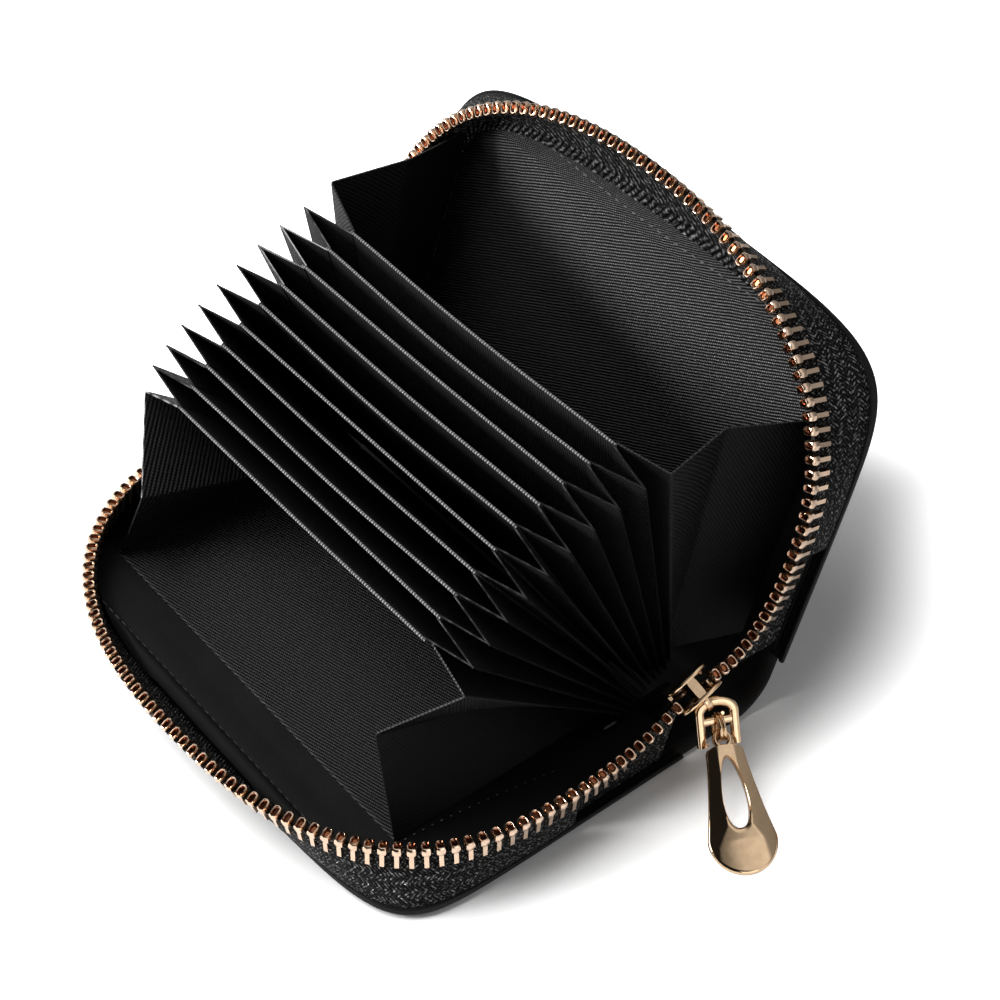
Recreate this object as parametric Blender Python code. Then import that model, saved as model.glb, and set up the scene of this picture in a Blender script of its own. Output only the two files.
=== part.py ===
"""Zip-around card wallet, lying open as an accordion.

The left cover lies flat on the surface and carries the origin at the middle of its
underside. +X runs from the left cover to the spine, +Y along the spine, +Z up. The spine
folds up from the left cover, and the right cover stands on the spine. Ten dividers fan out
between the covers, joined at both ends by folded gussets. A metal zip runs round each
cover, and its slider hangs at the near end (-Y) of the spine.
"""
import math

import bmesh
import bpy
import numpy as np
from mathutils import Matrix, Vector

# Driving dimensions: metres and degrees

cover_length = 0.110
cover_height = 0.061
corner_power = 5.0
leather_thickness = 0.0010
leather_rim_height = 0.0032
board_thickness = 0.0005
board_margin = 0.0045
lining_thickness = 0.0004
facing_width = 0.0100
gap = 0.0003

spine_flat = 0.0120
spine_bend_radius = 0.0095
spine_rise = 0.0043
opening_angle = 109.4
hinge_depth = 0.0013
fold_clearance = 0.0018

zip_half_length = 0.0565
zip_height = 0.0100
zip_corner_power = 2.55
zip_corner_start = 0.0250
left_zip_reach = 0.0700
right_zip_reach = 0.0670
tape_foot = 0.0016
tape_top = 0.0082
tape_thickness = 0.0006
tooth_pitch = 0.00245
tooth_share = 0.56
tooth_length = 0.0035
tooth_thickness = 0.0026
bead_length = 0.0011
bead_thickness = 0.0012
fixed_tape_start = 0.0240
far_tape_end = 0.0040

divider_count = 10
divider_width = 0.0704
divider_depth = 0.0499
divider_thickness = 0.0005
hem_thickness = 0.0007
hem_height = 0.0012
divider_pitch = 0.0010
fan_first_angle = 43.8
fan_step = 3.75
fan_step_growth = 0.17
fan_base_lift = 0.0039
fan_base_back = 0.0020

gusset_reach = 0.0104
gusset_thickness = 0.00035
gusset_fold_depth = 0.0012
gusset_foot = 0.0100
left_spike_angle = 139.5
left_pinch_angle = 160.0
right_spike_angle = 94.0
right_pinch_angle = 76.5
right_pinch_share = 0.667
fold_height_share = 0.05
fold_spread = 0.05
fold_stations = 7
right_gusset_edge = 0.0440
panel_depth = 0.0494
panel_side_margin = 0.0085

slider_length = 0.0090
slider_width = 0.0088
slider_tail_width = 0.0066
slider_plate = 0.0008
slider_channel = 0.0032
slider_post_width = 0.0016
slider_mouth_proud = 0.0015
slider_mouth_height = 0.0185
slider_mouth_back = 0.0011
slider_turn = 18.5
anchor_knee = 0.0085
anchor_lean = 0.0018
anchor_height = 0.0072
anchor_run = 0.0050
anchor_width = 0.0070
anchor_shift = 0.0030
slider_lean = 35.0
left_free_run = 0.0140
right_free_run = 0.0190
free_lead_across = 0.0073
free_lead_down = 0.0036

bridge_opening = 0.0011
bridge_strap = 0.0007
bridge_width = 0.0010
bridge_offset = 0.0022

link_length = 0.0075
link_width = 0.0066
link_bar = 0.0010
link_shoulder = 0.0011
link_crossbar_drop = 0.0026
link_yaw = 26.0
link_lean = 30.0
link_shift = 0.0012

ring_radius = 0.0024
ring_wire = 0.0004
ring_shift = 0.0015
pull_length = 0.0244
pull_neck_width = 0.0034
pull_neck_length = 0.0028
pull_top_width = 0.0064
pull_widest = 0.0116
pull_widest_at = 0.0185
pull_thickness = 0.0016
pull_bevel = 0.0003
pull_slot_length = 0.0142
pull_slot_width = 0.0058
pull_slot_from_top = 0.0044
pull_eye_radius = 0.0009
pull_eye_margin = 0.0008
pull_yaw = 28.5
pull_drop = 23.0

half_length = cover_length / 2
outward = math.radians(180 - opening_angle)
slider_thickness = slider_channel + 2 * slider_plate


# Collections, materials and objects

def clear_scene():
    for item in list(bpy.data.objects):
        bpy.data.objects.remove(item, do_unlink=True)


def new_collection(name):
    collection = bpy.data.collections.new(name)
    bpy.context.scene.collection.children.link(collection)
    return collection


clear_scene()
parts = new_collection("card_wallet")
cutters = new_collection("card_wallet_cutters")


def finish(name, colour, roughness, metallic=0.0):
    material = bpy.data.materials.new(name)
    material.use_nodes = True
    shader = material.node_tree.nodes["Principled BSDF"]
    shader.inputs["Base Color"].default_value = (*colour, 1.0)
    shader.inputs["Roughness"].default_value = roughness
    shader.inputs["Metallic"].default_value = metallic
    return material


leather_colour = (0.012, 0.012, 0.013)
twill_colour = (0.020, 0.020, 0.021)
tape_colour = (0.010, 0.010, 0.011)
board_colour = (0.20, 0.19, 0.17)
rose_gold = (0.86, 0.58, 0.42)
pale_gold = (0.86, 0.70, 0.48)


def leather(name):
    return finish(name + "_leather", leather_colour, 0.45)


def twill(name):
    return finish(name + "_twill", twill_colour, 0.75)


def metal(name, colour=rose_gold):
    return finish(name + "_metal", colour, 0.22, 1.0)


def joint_empty(name, place, carrier=None):
    """An empty on a joint's axis, parented to the axis that carries it."""
    empty = bpy.data.objects.new(name, None)
    empty.location = place
    parts.objects.link(empty)
    bpy.context.view_layer.update()
    if carrier:
        empty.parent = carrier
        empty.matrix_parent_inverse = carrier.matrix_world.inverted()
        bpy.context.view_layer.update()
    return empty


def attach(item, empty):
    """Parents an object to the empty on its joint's axis without moving it."""
    bpy.context.view_layer.update()
    place = item.matrix_world.copy()
    item.parent = empty
    item.matrix_parent_inverse = empty.matrix_world.inverted()
    item.matrix_world = place
    return item


def mesh_object(name, points, faces, material, place=None, collection=parts):
    """A closed mesh from corner points and faces, with its faces turned outwards."""
    mesh = bpy.data.meshes.new(name)
    mesh.from_pydata([tuple(map(float, p)) for p in points], [], faces)
    shape = bmesh.new()
    shape.from_mesh(mesh)
    bmesh.ops.recalc_face_normals(shape, faces=shape.faces)
    shape.to_mesh(mesh)
    shape.free()
    if material:
        mesh.materials.append(material)
    item = bpy.data.objects.new(name, mesh)
    collection.objects.link(item)
    if place is not None:
        item.matrix_world = place
    return item


def loft(name, rings, material, place=None):
    """A solid skinned over closed rings: a front run of points, then its back reversed.

    The caps are strips of quads from each ring's front to its back.
    """
    rings = np.asarray(rings, float)
    count, sides = rings.shape[:2]
    faces = []
    for ring in range(count - 1):
        low, high = ring * sides, (ring + 1) * sides
        for side in range(sides):
            after = (side + 1) % sides
            faces.append((low + side, low + after, high + after, high + side))
    for first in (0, (count - 1) * sides):
        for side in range(sides // 2 - 1):
            back = first + sides - 1 - side
            faces.append((first + side, first + side + 1, back - 1, back))
    return mesh_object(name, rings.reshape(-1, 3), faces, material, place)


def plate(name, outlines, thickness, material, place, collection=parts):
    """A flat plate: a filled 2D curve, its first outline outside and the rest holes."""
    curve = bpy.data.curves.new(name, "CURVE")
    curve.dimensions = "2D"
    curve.fill_mode = "BOTH"
    curve.extrude = thickness / 2
    for outline in outlines:
        spline = curve.splines.new("POLY")
        spline.points.add(len(outline) - 1)
        for point, (x, y) in zip(spline.points, outline):
            point.co = (float(x), float(y), 0.0, 1.0)
        spline.use_cyclic_u = True
    if material:
        curve.materials.append(material)
    item = bpy.data.objects.new(name, curve)
    collection.objects.link(item)
    item.matrix_world = place
    return item


def as_mesh(item):
    """Turns a curve object into a welded mesh object under the same name."""
    bpy.context.view_layer.update()
    graph = bpy.context.evaluated_depsgraph_get()
    mesh = bpy.data.meshes.new_from_object(item.evaluated_get(graph))
    shape = bmesh.new()
    shape.from_mesh(mesh)
    bmesh.ops.remove_doubles(shape, verts=shape.verts, dist=0.00001)
    bmesh.ops.recalc_face_normals(shape, faces=shape.faces)
    shape.to_mesh(mesh)
    shape.free()
    name, place, home = item.name, item.matrix_world.copy(), item.users_collection[0]
    bpy.data.objects.remove(item, do_unlink=True)
    welded = bpy.data.objects.new(name, mesh)
    home.objects.link(welded)
    welded.matrix_world = place
    return welded


def cut(item, cutter):
    cutter.hide_render = True
    cutter.display_type = "WIRE"
    boolean = item.modifiers.new("cut_" + cutter.name, "BOOLEAN")
    boolean.operation = "DIFFERENCE"
    boolean.solver = "EXACT"
    boolean.object = cutter


def frame_matrix(origin, x_axis, y_axis, z_axis):
    matrix = Matrix.Identity(4)
    for column, axis in enumerate((x_axis, y_axis, z_axis, origin)):
        for row in range(3):
            matrix[row][column] = axis[row]
    return matrix


# The wallet's frame: where the folds, covers and joints are

class Cover:
    """One cover: v runs from its fold to its mouth, w from its outside inwards."""

    def __init__(self, name, origin, out, inward, side, zip_reach):
        self.name = name
        self.origin = np.array(origin, float)
        self.out = np.array(out, float)
        self.inward = np.array(inward, float)
        self.side = side
        self.zip_reach = zip_reach

    def place(self):
        """The cover's own frame: X along v, Z along w, and Y along or against the spine."""
        return frame_matrix(self.origin, self.out, (0, self.side, 0), self.inward)

    def point(self, y, v, w):
        """A point in the wallet's frame from the cover's own y (along the spine), v and w."""
        base = self.origin + v * self.out + w * self.inward
        return np.array((base[0], y, base[2]))


fold_x = cover_height / 2
bend_centre = np.array((fold_x + spine_flat, spine_bend_radius))


def spine_profile(depth, start, stop):
    """The spine's section at a depth below its outside: flat, round the bend, then up.

    start and stop are how far it keeps from the two fold lines, along the section.
    """
    turn = math.pi - math.radians(opening_angle)
    flat = [(fold_x + start, depth), (fold_x + spine_flat, depth)]
    steps = np.linspace(0, turn, 7)[1:]
    radius = spine_bend_radius - depth
    bend = [
        (bend_centre[0] + radius * math.sin(a), bend_centre[1] - radius * math.cos(a))
        for a in steps
    ]
    last = bend[-1]
    rise = spine_rise - stop
    end = (last[0] + rise * math.cos(turn), last[1] + rise * math.sin(turn))
    return flat + bend + [end]


right_fold = spine_profile(0.0, 0.0, 0.0)[-1]
right_out = (math.cos(outward), 0.0, math.sin(outward))
right_inward = (-math.sin(outward), 0.0, math.cos(outward))

left_cover = Cover("left", (fold_x, 0, 0), (-1, 0, 0), (0, 0, 1), -1, left_zip_reach)
right_cover = Cover(
    "right", (right_fold[0], 0, right_fold[1]), right_out, right_inward, 1, right_zip_reach
)
covers = (left_cover, right_cover)

spine_axis = left_cover.point(0, 0, hinge_depth)
cover_axis = right_cover.point(0, 0, hinge_depth)

spine_hinge = joint_empty("spine_fold_axis", spine_axis)
cover_hinge = joint_empty("cover_fold_axis", cover_axis, spine_hinge)
carriers = {"left": None, "right": cover_hinge}


def carry(item, cover):
    return attach(item, carriers[cover.name]) if carriers[cover.name] else item


# The rim of a cover, in its own frame: a rounded oblong with one open side at the fold

def rim_curve(half, reach, power, steps=24):
    """Half the rim's width, its reach and its corner power make a superellipse.

    Points (v, y): it starts at the fold at the near end, runs straight to where the
    corners start, rounds both corners across the mouth, and comes back to the fold.
    """
    straight = np.linspace(0, zip_corner_start, 9)[:-1]
    angle = np.linspace(0, math.pi, 2 * steps + 1)
    across = -half * np.sign(np.cos(angle)) * np.abs(np.cos(angle)) ** (2 / power)
    depth = zip_corner_start + (reach - zip_corner_start) * np.sin(angle) ** (2 / power)
    near = np.stack([straight, np.full_like(straight, -half)], -1)
    far = np.stack([straight[::-1], np.full_like(straight, half)], -1)
    return np.concatenate([near, np.stack([depth, across], -1), far])


def arc_length(path):
    steps = np.linalg.norm(np.diff(path, axis=0), axis=1)
    return np.concatenate([[0], np.cumsum(steps)])


def sample(path, along, at):
    return np.stack([np.interp(at, along, path[:, i]) for i in range(path.shape[1])], -1)


class Wall:
    """The leaning wall between a cover's leather rim and its row of zip teeth."""

    def __init__(self, cover):
        self.side = cover.side
        self.foot = rim_curve(half_length, cover_height, corner_power)
        self.head = rim_curve(zip_half_length, cover.zip_reach, zip_corner_power)
        self.along = arc_length(self.head)
        self.length = self.along[-1]

    def at(self, distance, height, inset):
        """Points in the cover's frame at distances along the teeth, a height and an inset."""
        share = height / zip_height
        path = self.foot + (self.head - self.foot) * share
        tangent = np.gradient(path, axis=0)
        tangent /= np.linalg.norm(tangent, axis=1)[:, None]
        inward = np.stack([tangent[:, 1], -tangent[:, 0]], -1) * -1
        moved = path + inward * inset
        flat = sample(moved, self.along, distance) * (1, self.side)
        return np.concatenate([flat, np.full((len(flat), 1), height)], -1)


walls = {cover.name: Wall(cover) for cover in covers}


def wall_stations(cover, start, stop, step=0.006):
    """Distances along the rim, from start past the near fold to stop short of the far one."""
    length = walls[cover.name].length
    count = int(round((length - start - stop) / step)) + 1
    return np.linspace(start, length - stop, count)


# The covers: leather tray, board, lining, accordion panel and facing

def leather_tray(cover):
    """The leather: a flat floor whose edge turns up into a low rim on three sides."""
    wall = walls[cover.name]
    stations = wall_stations(cover, gap / 2, gap / 2, 0.0055)
    t = leather_thickness
    sections = [
        (0.0, 0.0022),
        (0.0007, 0.0004),
        (0.0018, 0.0),
        (leather_rim_height, 0.0),
        (leather_rim_height, t),
        (t + gap, t),
        (t, t + gap),
    ]
    rings = [wall.at(stations, height, inset) for height, inset in sections]
    count = len(stations)
    points = np.concatenate(rings)
    faces = []
    for ring in range(len(rings) - 1):
        low, high = ring * count, (ring + 1) * count
        for i in range(count - 1):
            faces.append((low + i, low + i + 1, high + i + 1, high + i))
    last = (len(rings) - 1) * count
    faces.append(tuple(range(count)))
    faces.append(tuple(range(last, last + count)))
    for end in (0, count - 1):
        faces.append(tuple(ring * count + end for ring in range(len(rings))))
    faces.append((0, count - 1, last + count - 1, last))
    name = cover.name + "_leather"
    tray = mesh_object(name, points, faces, leather(cover.name), cover.place())
    return carry(tray, cover)


def layer_outline(cover, inset, height, fold_margin):
    """A flat layer's outline: the wall at a height and an inset, squared off at the fold."""
    wall = walls[cover.name]
    stations = wall_stations(cover, fold_margin, fold_margin, 0.0065)
    return wall.at(stations, height, inset)[:, :2]


def cover_plate(cover, name, outline, bottom, thickness, material):
    place = cover.place() @ Matrix.Translation((0, 0, bottom + thickness / 2))
    return carry(plate(name, [outline], thickness, material, place), cover)


board_bottom = leather_thickness + gap * 0.8
lining_bottom = board_bottom + board_thickness + gap * 0.8
panel_bottom = lining_bottom + lining_thickness + gap * 0.8
panel_top = panel_bottom + lining_thickness


def oblong(v_low, v_high, half):
    return [(v_low, -half), (v_high, -half), (v_high, half), (v_low, half)]


def cover_layers(cover):
    name = cover.name
    inset = leather_thickness + gap + board_margin
    outline = layer_outline(cover, inset, board_bottom, fold_clearance)
    board = finish(name + "_board_fibre", board_colour, 0.9)
    cover_plate(cover, name + "_board", outline, board_bottom, board_thickness, board)
    inset = leather_thickness + tape_thickness + 3 * gap
    outline = layer_outline(cover, inset, lining_bottom, fold_clearance)
    cloth = twill(name + "_lining")
    cover_plate(cover, name + "_lining", outline, lining_bottom, lining_thickness, cloth)
    panel = oblong(fold_clearance + gap, panel_depth, divider_width / 2 + panel_side_margin)
    cloth = twill(name + "_panel")
    cover_plate(
        cover, name + "_accordion_panel", panel, panel_bottom, lining_thickness, cloth
    )


def mouth_facing(cover):
    """A smooth strip sewn along the mouth, past the accordion panel's edge."""
    low = panel_depth + gap
    wall = walls[cover.name]
    inset = leather_thickness + tape_thickness + 4 * gap
    stations = wall_stations(cover, 0.03, 0.03, 0.0065)
    edge = wall.at(stations, panel_bottom, inset)[:, :2]
    high = low + facing_width
    kept = edge[edge[:, 0] > low + gap]
    kept[:, 0] = np.minimum(kept[:, 0], high)
    outline = [(low, kept[0, 1])] + [tuple(p) for p in kept] + [(low, kept[-1, 1])]
    name = cover.name + "_mouth_facing"
    cover_plate(cover, name, outline, panel_bottom, lining_thickness, leather(name))


for cover in covers:
    leather_tray(cover)
    cover_layers(cover)
mouth_facing(left_cover)


# The zip: woven tape wall and a bead that carries the teeth, round three sides of a cover

def tape_wall(cover):
    wall = walls[cover.name]
    stations = wall_stations(cover, fixed_tape_start, far_tape_end)
    outer = leather_thickness + gap
    inner = outer + tape_thickness
    rows = [
        wall.at(stations, tape_foot, outer),
        wall.at(stations, tape_top, outer),
        wall.at(stations, tape_top, inner),
        wall.at(stations, tape_foot, inner),
    ]
    rings = np.stack(rows, axis=1)
    name = cover.name + "_zip_tape"
    material = finish(name + "_weave", tape_colour, 0.8)
    return carry(loft(name, rings, material, cover.place()), cover)


def tooth_stations(start, stop):
    """Distances and sizes along a row of teeth: each tooth's two faces, then a notch."""
    count = int((stop - start) / tooth_pitch)
    distances, full = [start], [0.0]
    for tooth in range(count):
        left = start + (tooth + (1 - tooth_share) / 2) * tooth_pitch
        distances += [left, left + tooth_share * tooth_pitch, start + (tooth + 1) * tooth_pitch]
        full += [1.0, 1.0, 0.0]
    return np.array(distances), np.array(full)


def tooth_rings(centres, rise, across, full):
    """Rectangles round a bead: its foot is at centres, rise goes up and across goes over."""
    up = (bead_length + (tooth_length - bead_length) * full)[:, None] * rise
    half = (bead_thickness + (tooth_thickness - bead_thickness) * full)[:, None] / 2 * across
    return np.stack(
        [centres - half, centres - half + up, centres + half + up, centres + half], axis=1
    )


tooth_foot = tape_top + gap


def chain(cover):
    wall = walls[cover.name]
    start = fixed_tape_start
    distances, full = tooth_stations(start, wall.length - far_tape_end - tooth_pitch)
    inset = leather_thickness + gap + tape_thickness / 2
    centres = wall.at(distances, tooth_foot, inset)
    above = wall.at(distances, tooth_foot + tooth_length, inset)
    rise = above - centres
    rise[:, :2] *= 0.5
    rise /= np.linalg.norm(rise, axis=1)[:, None]
    tangent = np.gradient(centres, axis=0)
    across = np.cross(tangent, rise)
    across /= np.linalg.norm(across, axis=1)[:, None]
    rings = tooth_rings(centres, rise, across, full)
    name = cover.name + "_zip_teeth"
    return carry(loft(name, rings, metal(name), cover.place()), cover)


def top_stop(cover):
    """A small crimped stop at the far end of a row of teeth."""
    wall = walls[cover.name]
    at = wall.length - far_tape_end - tooth_pitch + gap
    inset = leather_thickness + gap + tape_thickness / 2
    distances = np.array([at, at + 0.8 * tooth_pitch])
    centres = wall.at(distances, tooth_foot, inset)
    across = np.tile((0.0, 1.0, 0.0), (2, 1))
    rise = np.tile((0.0, 0.0, 1.0), (2, 1))
    rings = tooth_rings(centres, rise, across, np.array([0.75, 0.75]))
    name = cover.name + "_top_stop"
    return carry(loft(name, rings, metal(name), cover.place()), cover)


for cover in covers:
    tape_wall(cover)
    chain(cover)
    top_stop(cover)


# The spine: leather round the bend, its lining, and a tab that closes each end

def spine_strip(name, depth, thickness, margin, length, material):
    outer = spine_profile(depth, margin, margin)
    inner = spine_profile(depth + thickness, margin, margin)
    outline = outer + inner[::-1]
    upright = Matrix.Rotation(math.radians(90), 4, "X")
    return attach(plate(name, [outline], length, material, upright), spine_hinge)


spine_strip("spine_leather", 0.0, leather_thickness, gap / 2, cover_length, leather("spine"))
spine_strip(
    "spine_lining",
    leather_thickness + gap,
    lining_thickness,
    fold_clearance,
    cover_length - 4 * leather_thickness - 2 * gap,
    twill("spine"),
)


# The accordion: dividers that fan about their own feet

def fan_angle(index):
    """Degrees from the left cover up to a divider; each step is a little wider."""
    growth = fan_step_growth * index * (index - 1) / 2
    return fan_first_angle + fan_step * index + growth


class Divider:
    def __init__(self, index, foot):
        self.index = index
        self.foot = foot
        angle = math.radians(180 - fan_angle(index))
        self.up = np.array((math.cos(angle), math.sin(angle)))
        self.over = np.array((math.sin(angle), -math.cos(angle)))

    def point(self, along, over, y):
        flat = self.foot + along * self.up + over * self.over
        return np.array((flat[0], y, flat[1]))


def fan():
    """Each divider's foot lies one pitch from the last, square to the last divider."""
    foot = np.array((fold_x - fan_base_back, fan_base_lift))
    dividers = []
    for index in range(divider_count):
        divider = Divider(index, foot)
        dividers.append(divider)
        foot = foot + divider_pitch * divider.over
    return dividers


dividers = fan()
divider_hinges = []


def divider_piece(divider, hinge):
    """A double cloth panel with a thicker hem along its top edge."""
    t, h = divider_thickness / 2, hem_thickness / 2
    top = divider_depth
    hem = divider_depth - hem_height
    outline = [
        (t, 0), (t, hem), (h, hem), (h, top), (-h, top), (-h, hem), (-t, hem), (-t, 0),
    ]
    place = frame_matrix(
        (divider.foot[0], 0, divider.foot[1]),
        (divider.over[0], 0, divider.over[1]),
        (divider.up[0], 0, divider.up[1]),
        (0, -1, 0),
    )
    name = "divider_%02d" % (divider.index + 1)
    return attach(plate(name, [outline], divider_width, twill(name), place), hinge)


for divider in dividers:
    name = "divider_axis_%02d" % (divider.index + 1)
    last = divider_hinges[-1] if divider_hinges else None
    axis = joint_empty(name, divider.point(0, 0, 0), last)
    divider_hinges.append(axis)
    divider_piece(divider, axis)


# The gussets: folded cloth that joins neighbouring dividers at each end

def gusset_ring(left, right, along, side):
    """A V section: two leaves from the ends of two dividers to an outer fold."""
    start = side * (divider_width / 2 + gap)
    tip = start + side * gusset_reach
    inner_tip = tip - side * gusset_fold_depth
    near, far = gap / 2, gap / 2 + gusset_thickness
    middle = (left.point(along, 0, tip) + right.point(along, 0, tip)) / 2
    inner = (left.point(along, 0, inner_tip) + right.point(along, 0, inner_tip)) / 2
    return [
        left.point(along, near, start),
        middle,
        right.point(along, -near, start),
        right.point(along, -far, start),
        inner,
        left.point(along, far, start),
    ]


def flat_faces(item):
    """The twisted quads of a folded sheet, each split into two flat triangles.

    The cut starts at the quad's low corner nearer the wallet's middle, so that both sides of
    a leaf are cut the same way and never meet.
    """
    shape = bmesh.new()
    shape.from_mesh(item.data)
    for quad in list(shape.faces):
        corners = list(quad.verts)
        scores = [abs(corner.co.y) + fold_height_share * corner.co.z for corner in corners]
        start = scores.index(min(scores))
        bmesh.utils.face_split(quad, corners[start], corners[start - 2])
    shape.to_mesh(item.data)
    shape.free()
    return item


def gusset(index, side, word):
    left, right = dividers[index], dividers[index + 1]
    stations = (gusset_foot, divider_depth)
    rings = [gusset_ring(left, right, along, side) for along in stations]
    name = "%s_gusset_%02d" % (word, index + 1)
    return attach(flat_faces(loft(name, rings, twill(name))), divider_hinges[index])


def folded_sheet(name, rows, back_way, material, hinge):
    """A folded sheet lofted over rows of fold points; back_way shows its first leaf's back.

    The rows between are shares of the way from the first row to the last. Each fold point is
    moved square to its fold line, along its two leaves' normals, by the thickness.
    """
    low, high = np.asarray(rows, float)
    fold_lines = high - low
    rows = low + fold_lines * np.linspace(0, 1, fold_stations)[:, None, None]
    steps = np.diff(rows, axis=1)
    before = np.cross(np.concatenate([steps[:, :1], steps], axis=1), fold_lines)
    after = np.cross(np.concatenate([steps, steps[:, -1:]], axis=1), fold_lines)
    side = np.sign(before[0, 0] @ np.asarray(back_way, float))
    before *= side / np.linalg.norm(before, axis=2)[:, :, None]
    after *= side / np.linalg.norm(after, axis=2)[:, :, None]
    spread = np.maximum(1 + np.sum(before * after, axis=2), fold_spread)[:, :, None]
    back = rows + gusset_thickness * (before + after) / spread
    rings = np.concatenate([rows, back[:, ::-1]], axis=1)
    return attach(flat_faces(loft(name, rings, material)), hinge)


def polar(centre, angle, along, y):
    turn = math.radians(angle)
    return np.array((centre[0] + along * math.cos(turn), y, centre[1] + along * math.sin(turn)))


def wide_left_gusset(side, word):
    """From the first divider out to a spike, in to a pinch, and down to the left panel."""
    divider = dividers[0]
    start = side * (divider_width / 2 + gap)
    spike = start + side * gusset_reach
    landing = side * (divider_width / 2 + panel_side_margin / 2)
    foot = divider.foot
    rows = []
    for along in (gusset_foot, panel_depth - fan_base_back):
        low = left_cover.point(landing, fan_base_back + along, panel_top + gap)
        rows.append(
            [
                divider.point(along, -gap / 2, start),
                polar(foot, left_spike_angle, along + gusset_thickness, spike),
                polar(foot, left_pinch_angle, along, start),
                low,
            ]
        )
    name = word + "_wide_gusset_left"
    return folded_sheet(name, rows, (-1, 0, -1), twill(name), divider_hinges[0])


def wide_right_gusset(side, word):
    """From the last divider out to a spike, in to a pinch, and over to the right cover."""
    divider = dividers[-1]
    start = side * (divider_width / 2 + gap)
    spike = start + side * gusset_reach
    landing = side * (spike * side + fan_base_back)
    pinch = start + (spike - start) * right_pinch_share
    foot = divider.foot
    rows = []
    heights = ((gusset_foot, gusset_foot - fan_base_lift), (divider_depth, right_gusset_edge))
    for along, cover_v in heights:
        rows.append(
            [
                divider.point(along, gap / 2, start),
                polar(foot, right_spike_angle, along, spike),
                polar(foot, right_pinch_angle, along, pinch),
                right_cover.point(landing, cover_v, panel_bottom),
            ]
        )
    name = word + "_wide_gusset_right"
    return folded_sheet(name, rows, (1, 0, 0), twill(name), divider_hinges[-1])


for side, word in ((-1, "near"), (1, "far")):
    for index in range(divider_count - 1):
        gusset(index, side, word)
    wide_left_gusset(side, word)
    wide_right_gusset(side, word)


# The slider: its axis points out of the mouth, its face carries the bridge

def slider_frame():
    """Axes of the slider: across its width, out of its mouth, and out of its face."""
    turn, lean = math.radians(slider_turn), math.radians(slider_lean)
    across = Vector((math.cos(turn), 0, math.sin(turn)))
    upwards = Vector((-math.sin(turn), 0, math.cos(turn)))
    mouth = upwards * math.cos(lean) - Vector((0, 1, 0)) * math.sin(lean)
    return across, mouth, across.cross(mouth)


slider_across, slider_out, slider_face = slider_frame()
mouth_centre = Vector(
    (
        fold_x + slider_mouth_back,
        -(half_length + slider_mouth_proud),
        slider_mouth_height,
    )
)
slider_centre = mouth_centre - slider_out * slider_length / 2
slider_hinge = joint_empty("slider_way", slider_centre, spine_hinge)


def slider_place(across=0.0, out=0.0, face=0.0):
    origin = (
        slider_centre + slider_across * across + slider_out * out + slider_face * face
    )
    return frame_matrix(origin, slider_across, slider_out, slider_face)


def slider_body():
    """Two shield-shaped plates round a Y-shaped channel, joined by a post at the mouth."""
    half, tail, long = slider_width / 2, slider_tail_width / 2, slider_length / 2
    outline = [
        (-tail, -long), (tail, -long), (half, long * 0.35), (half, long * 0.75),
        (half * 0.6, long), (-half * 0.6, long), (-half, long * 0.75), (-half, long * 0.35),
    ]
    body = as_mesh(
        plate("slider_body", [outline], slider_thickness, metal("slider"), slider_place())
    )
    post = slider_post_width / 2
    beyond = long * 2
    slot = tail - slider_plate
    channel = [
        (-slot, -beyond), (slot, -beyond), (slot, -long * 0.1), (half * 1.3, long * 0.5),
        (half * 1.3, beyond), (post, beyond), (post, long * 0.3), (0, -long * 0.1),
        (-post, long * 0.3), (-post, beyond), (-half * 1.3, beyond),
        (-half * 1.3, long * 0.5), (-slot, -long * 0.1),
    ]
    cutter = as_mesh(
        plate("slider_channel", [channel], slider_channel, None, slider_place(), cutters)
    )
    cut(body, cutter)
    for side, word in ((-1, "left"), (1, "right")):
        low, high = sorted((side * slot * 0.9, side * half * 1.4))
        slit = as_mesh(
            plate(
                "slider_slit_" + word,
                [[(low, -beyond), (high, -beyond), (high, beyond), (low, beyond)]],
                tape_thickness + 2 * gap,
                None,
                slider_place(),
                cutters,
            )
        )
        cut(body, slit)
    return attach(body, slider_hinge)


def slider_bridge():
    """A strap bent over the slider's face, through which the link passes."""
    inner, outer = bridge_opening, bridge_opening + bridge_strap
    steps = np.linspace(0, math.pi, 9)
    outside = [(outer * 1.2 * math.cos(a), inner + outer * 0.9 * math.sin(a)) for a in steps]
    inside = [(inner * 1.15 * math.cos(a), inner + inner * 0.9 * math.sin(a)) for a in steps]
    outline = (
        [(outer * 1.2, 0)] + outside + [(-outer * 1.2, 0)]
        + [(-inner * 1.15, 0)] + inside[::-1] + [(inner * 1.15, 0)]
    )
    base = slider_thickness / 2 + gap
    origin = slider_centre + slider_face * base + slider_out * bridge_offset
    place = frame_matrix(origin, slider_out, slider_face, slider_out.cross(slider_face))
    return attach(
        plate("slider_bridge", [outline], bridge_width, metal("bridge"), place), slider_hinge
    )


slider_body()
slider_bridge()


# The closed end of the zip below the slider, and the tape end that anchors it

def zip_stub():
    length = 0.0038
    out = -(slider_length / 2 + gap + length / 2)
    stub = plate(
        "zip_stub",
        [oblong(-tooth_length / 2, tooth_length / 2, length / 2)],
        tooth_thickness,
        metal("zip_stub"),
        slider_place(out=out),
    )
    return attach(stub, spine_hinge)


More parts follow.
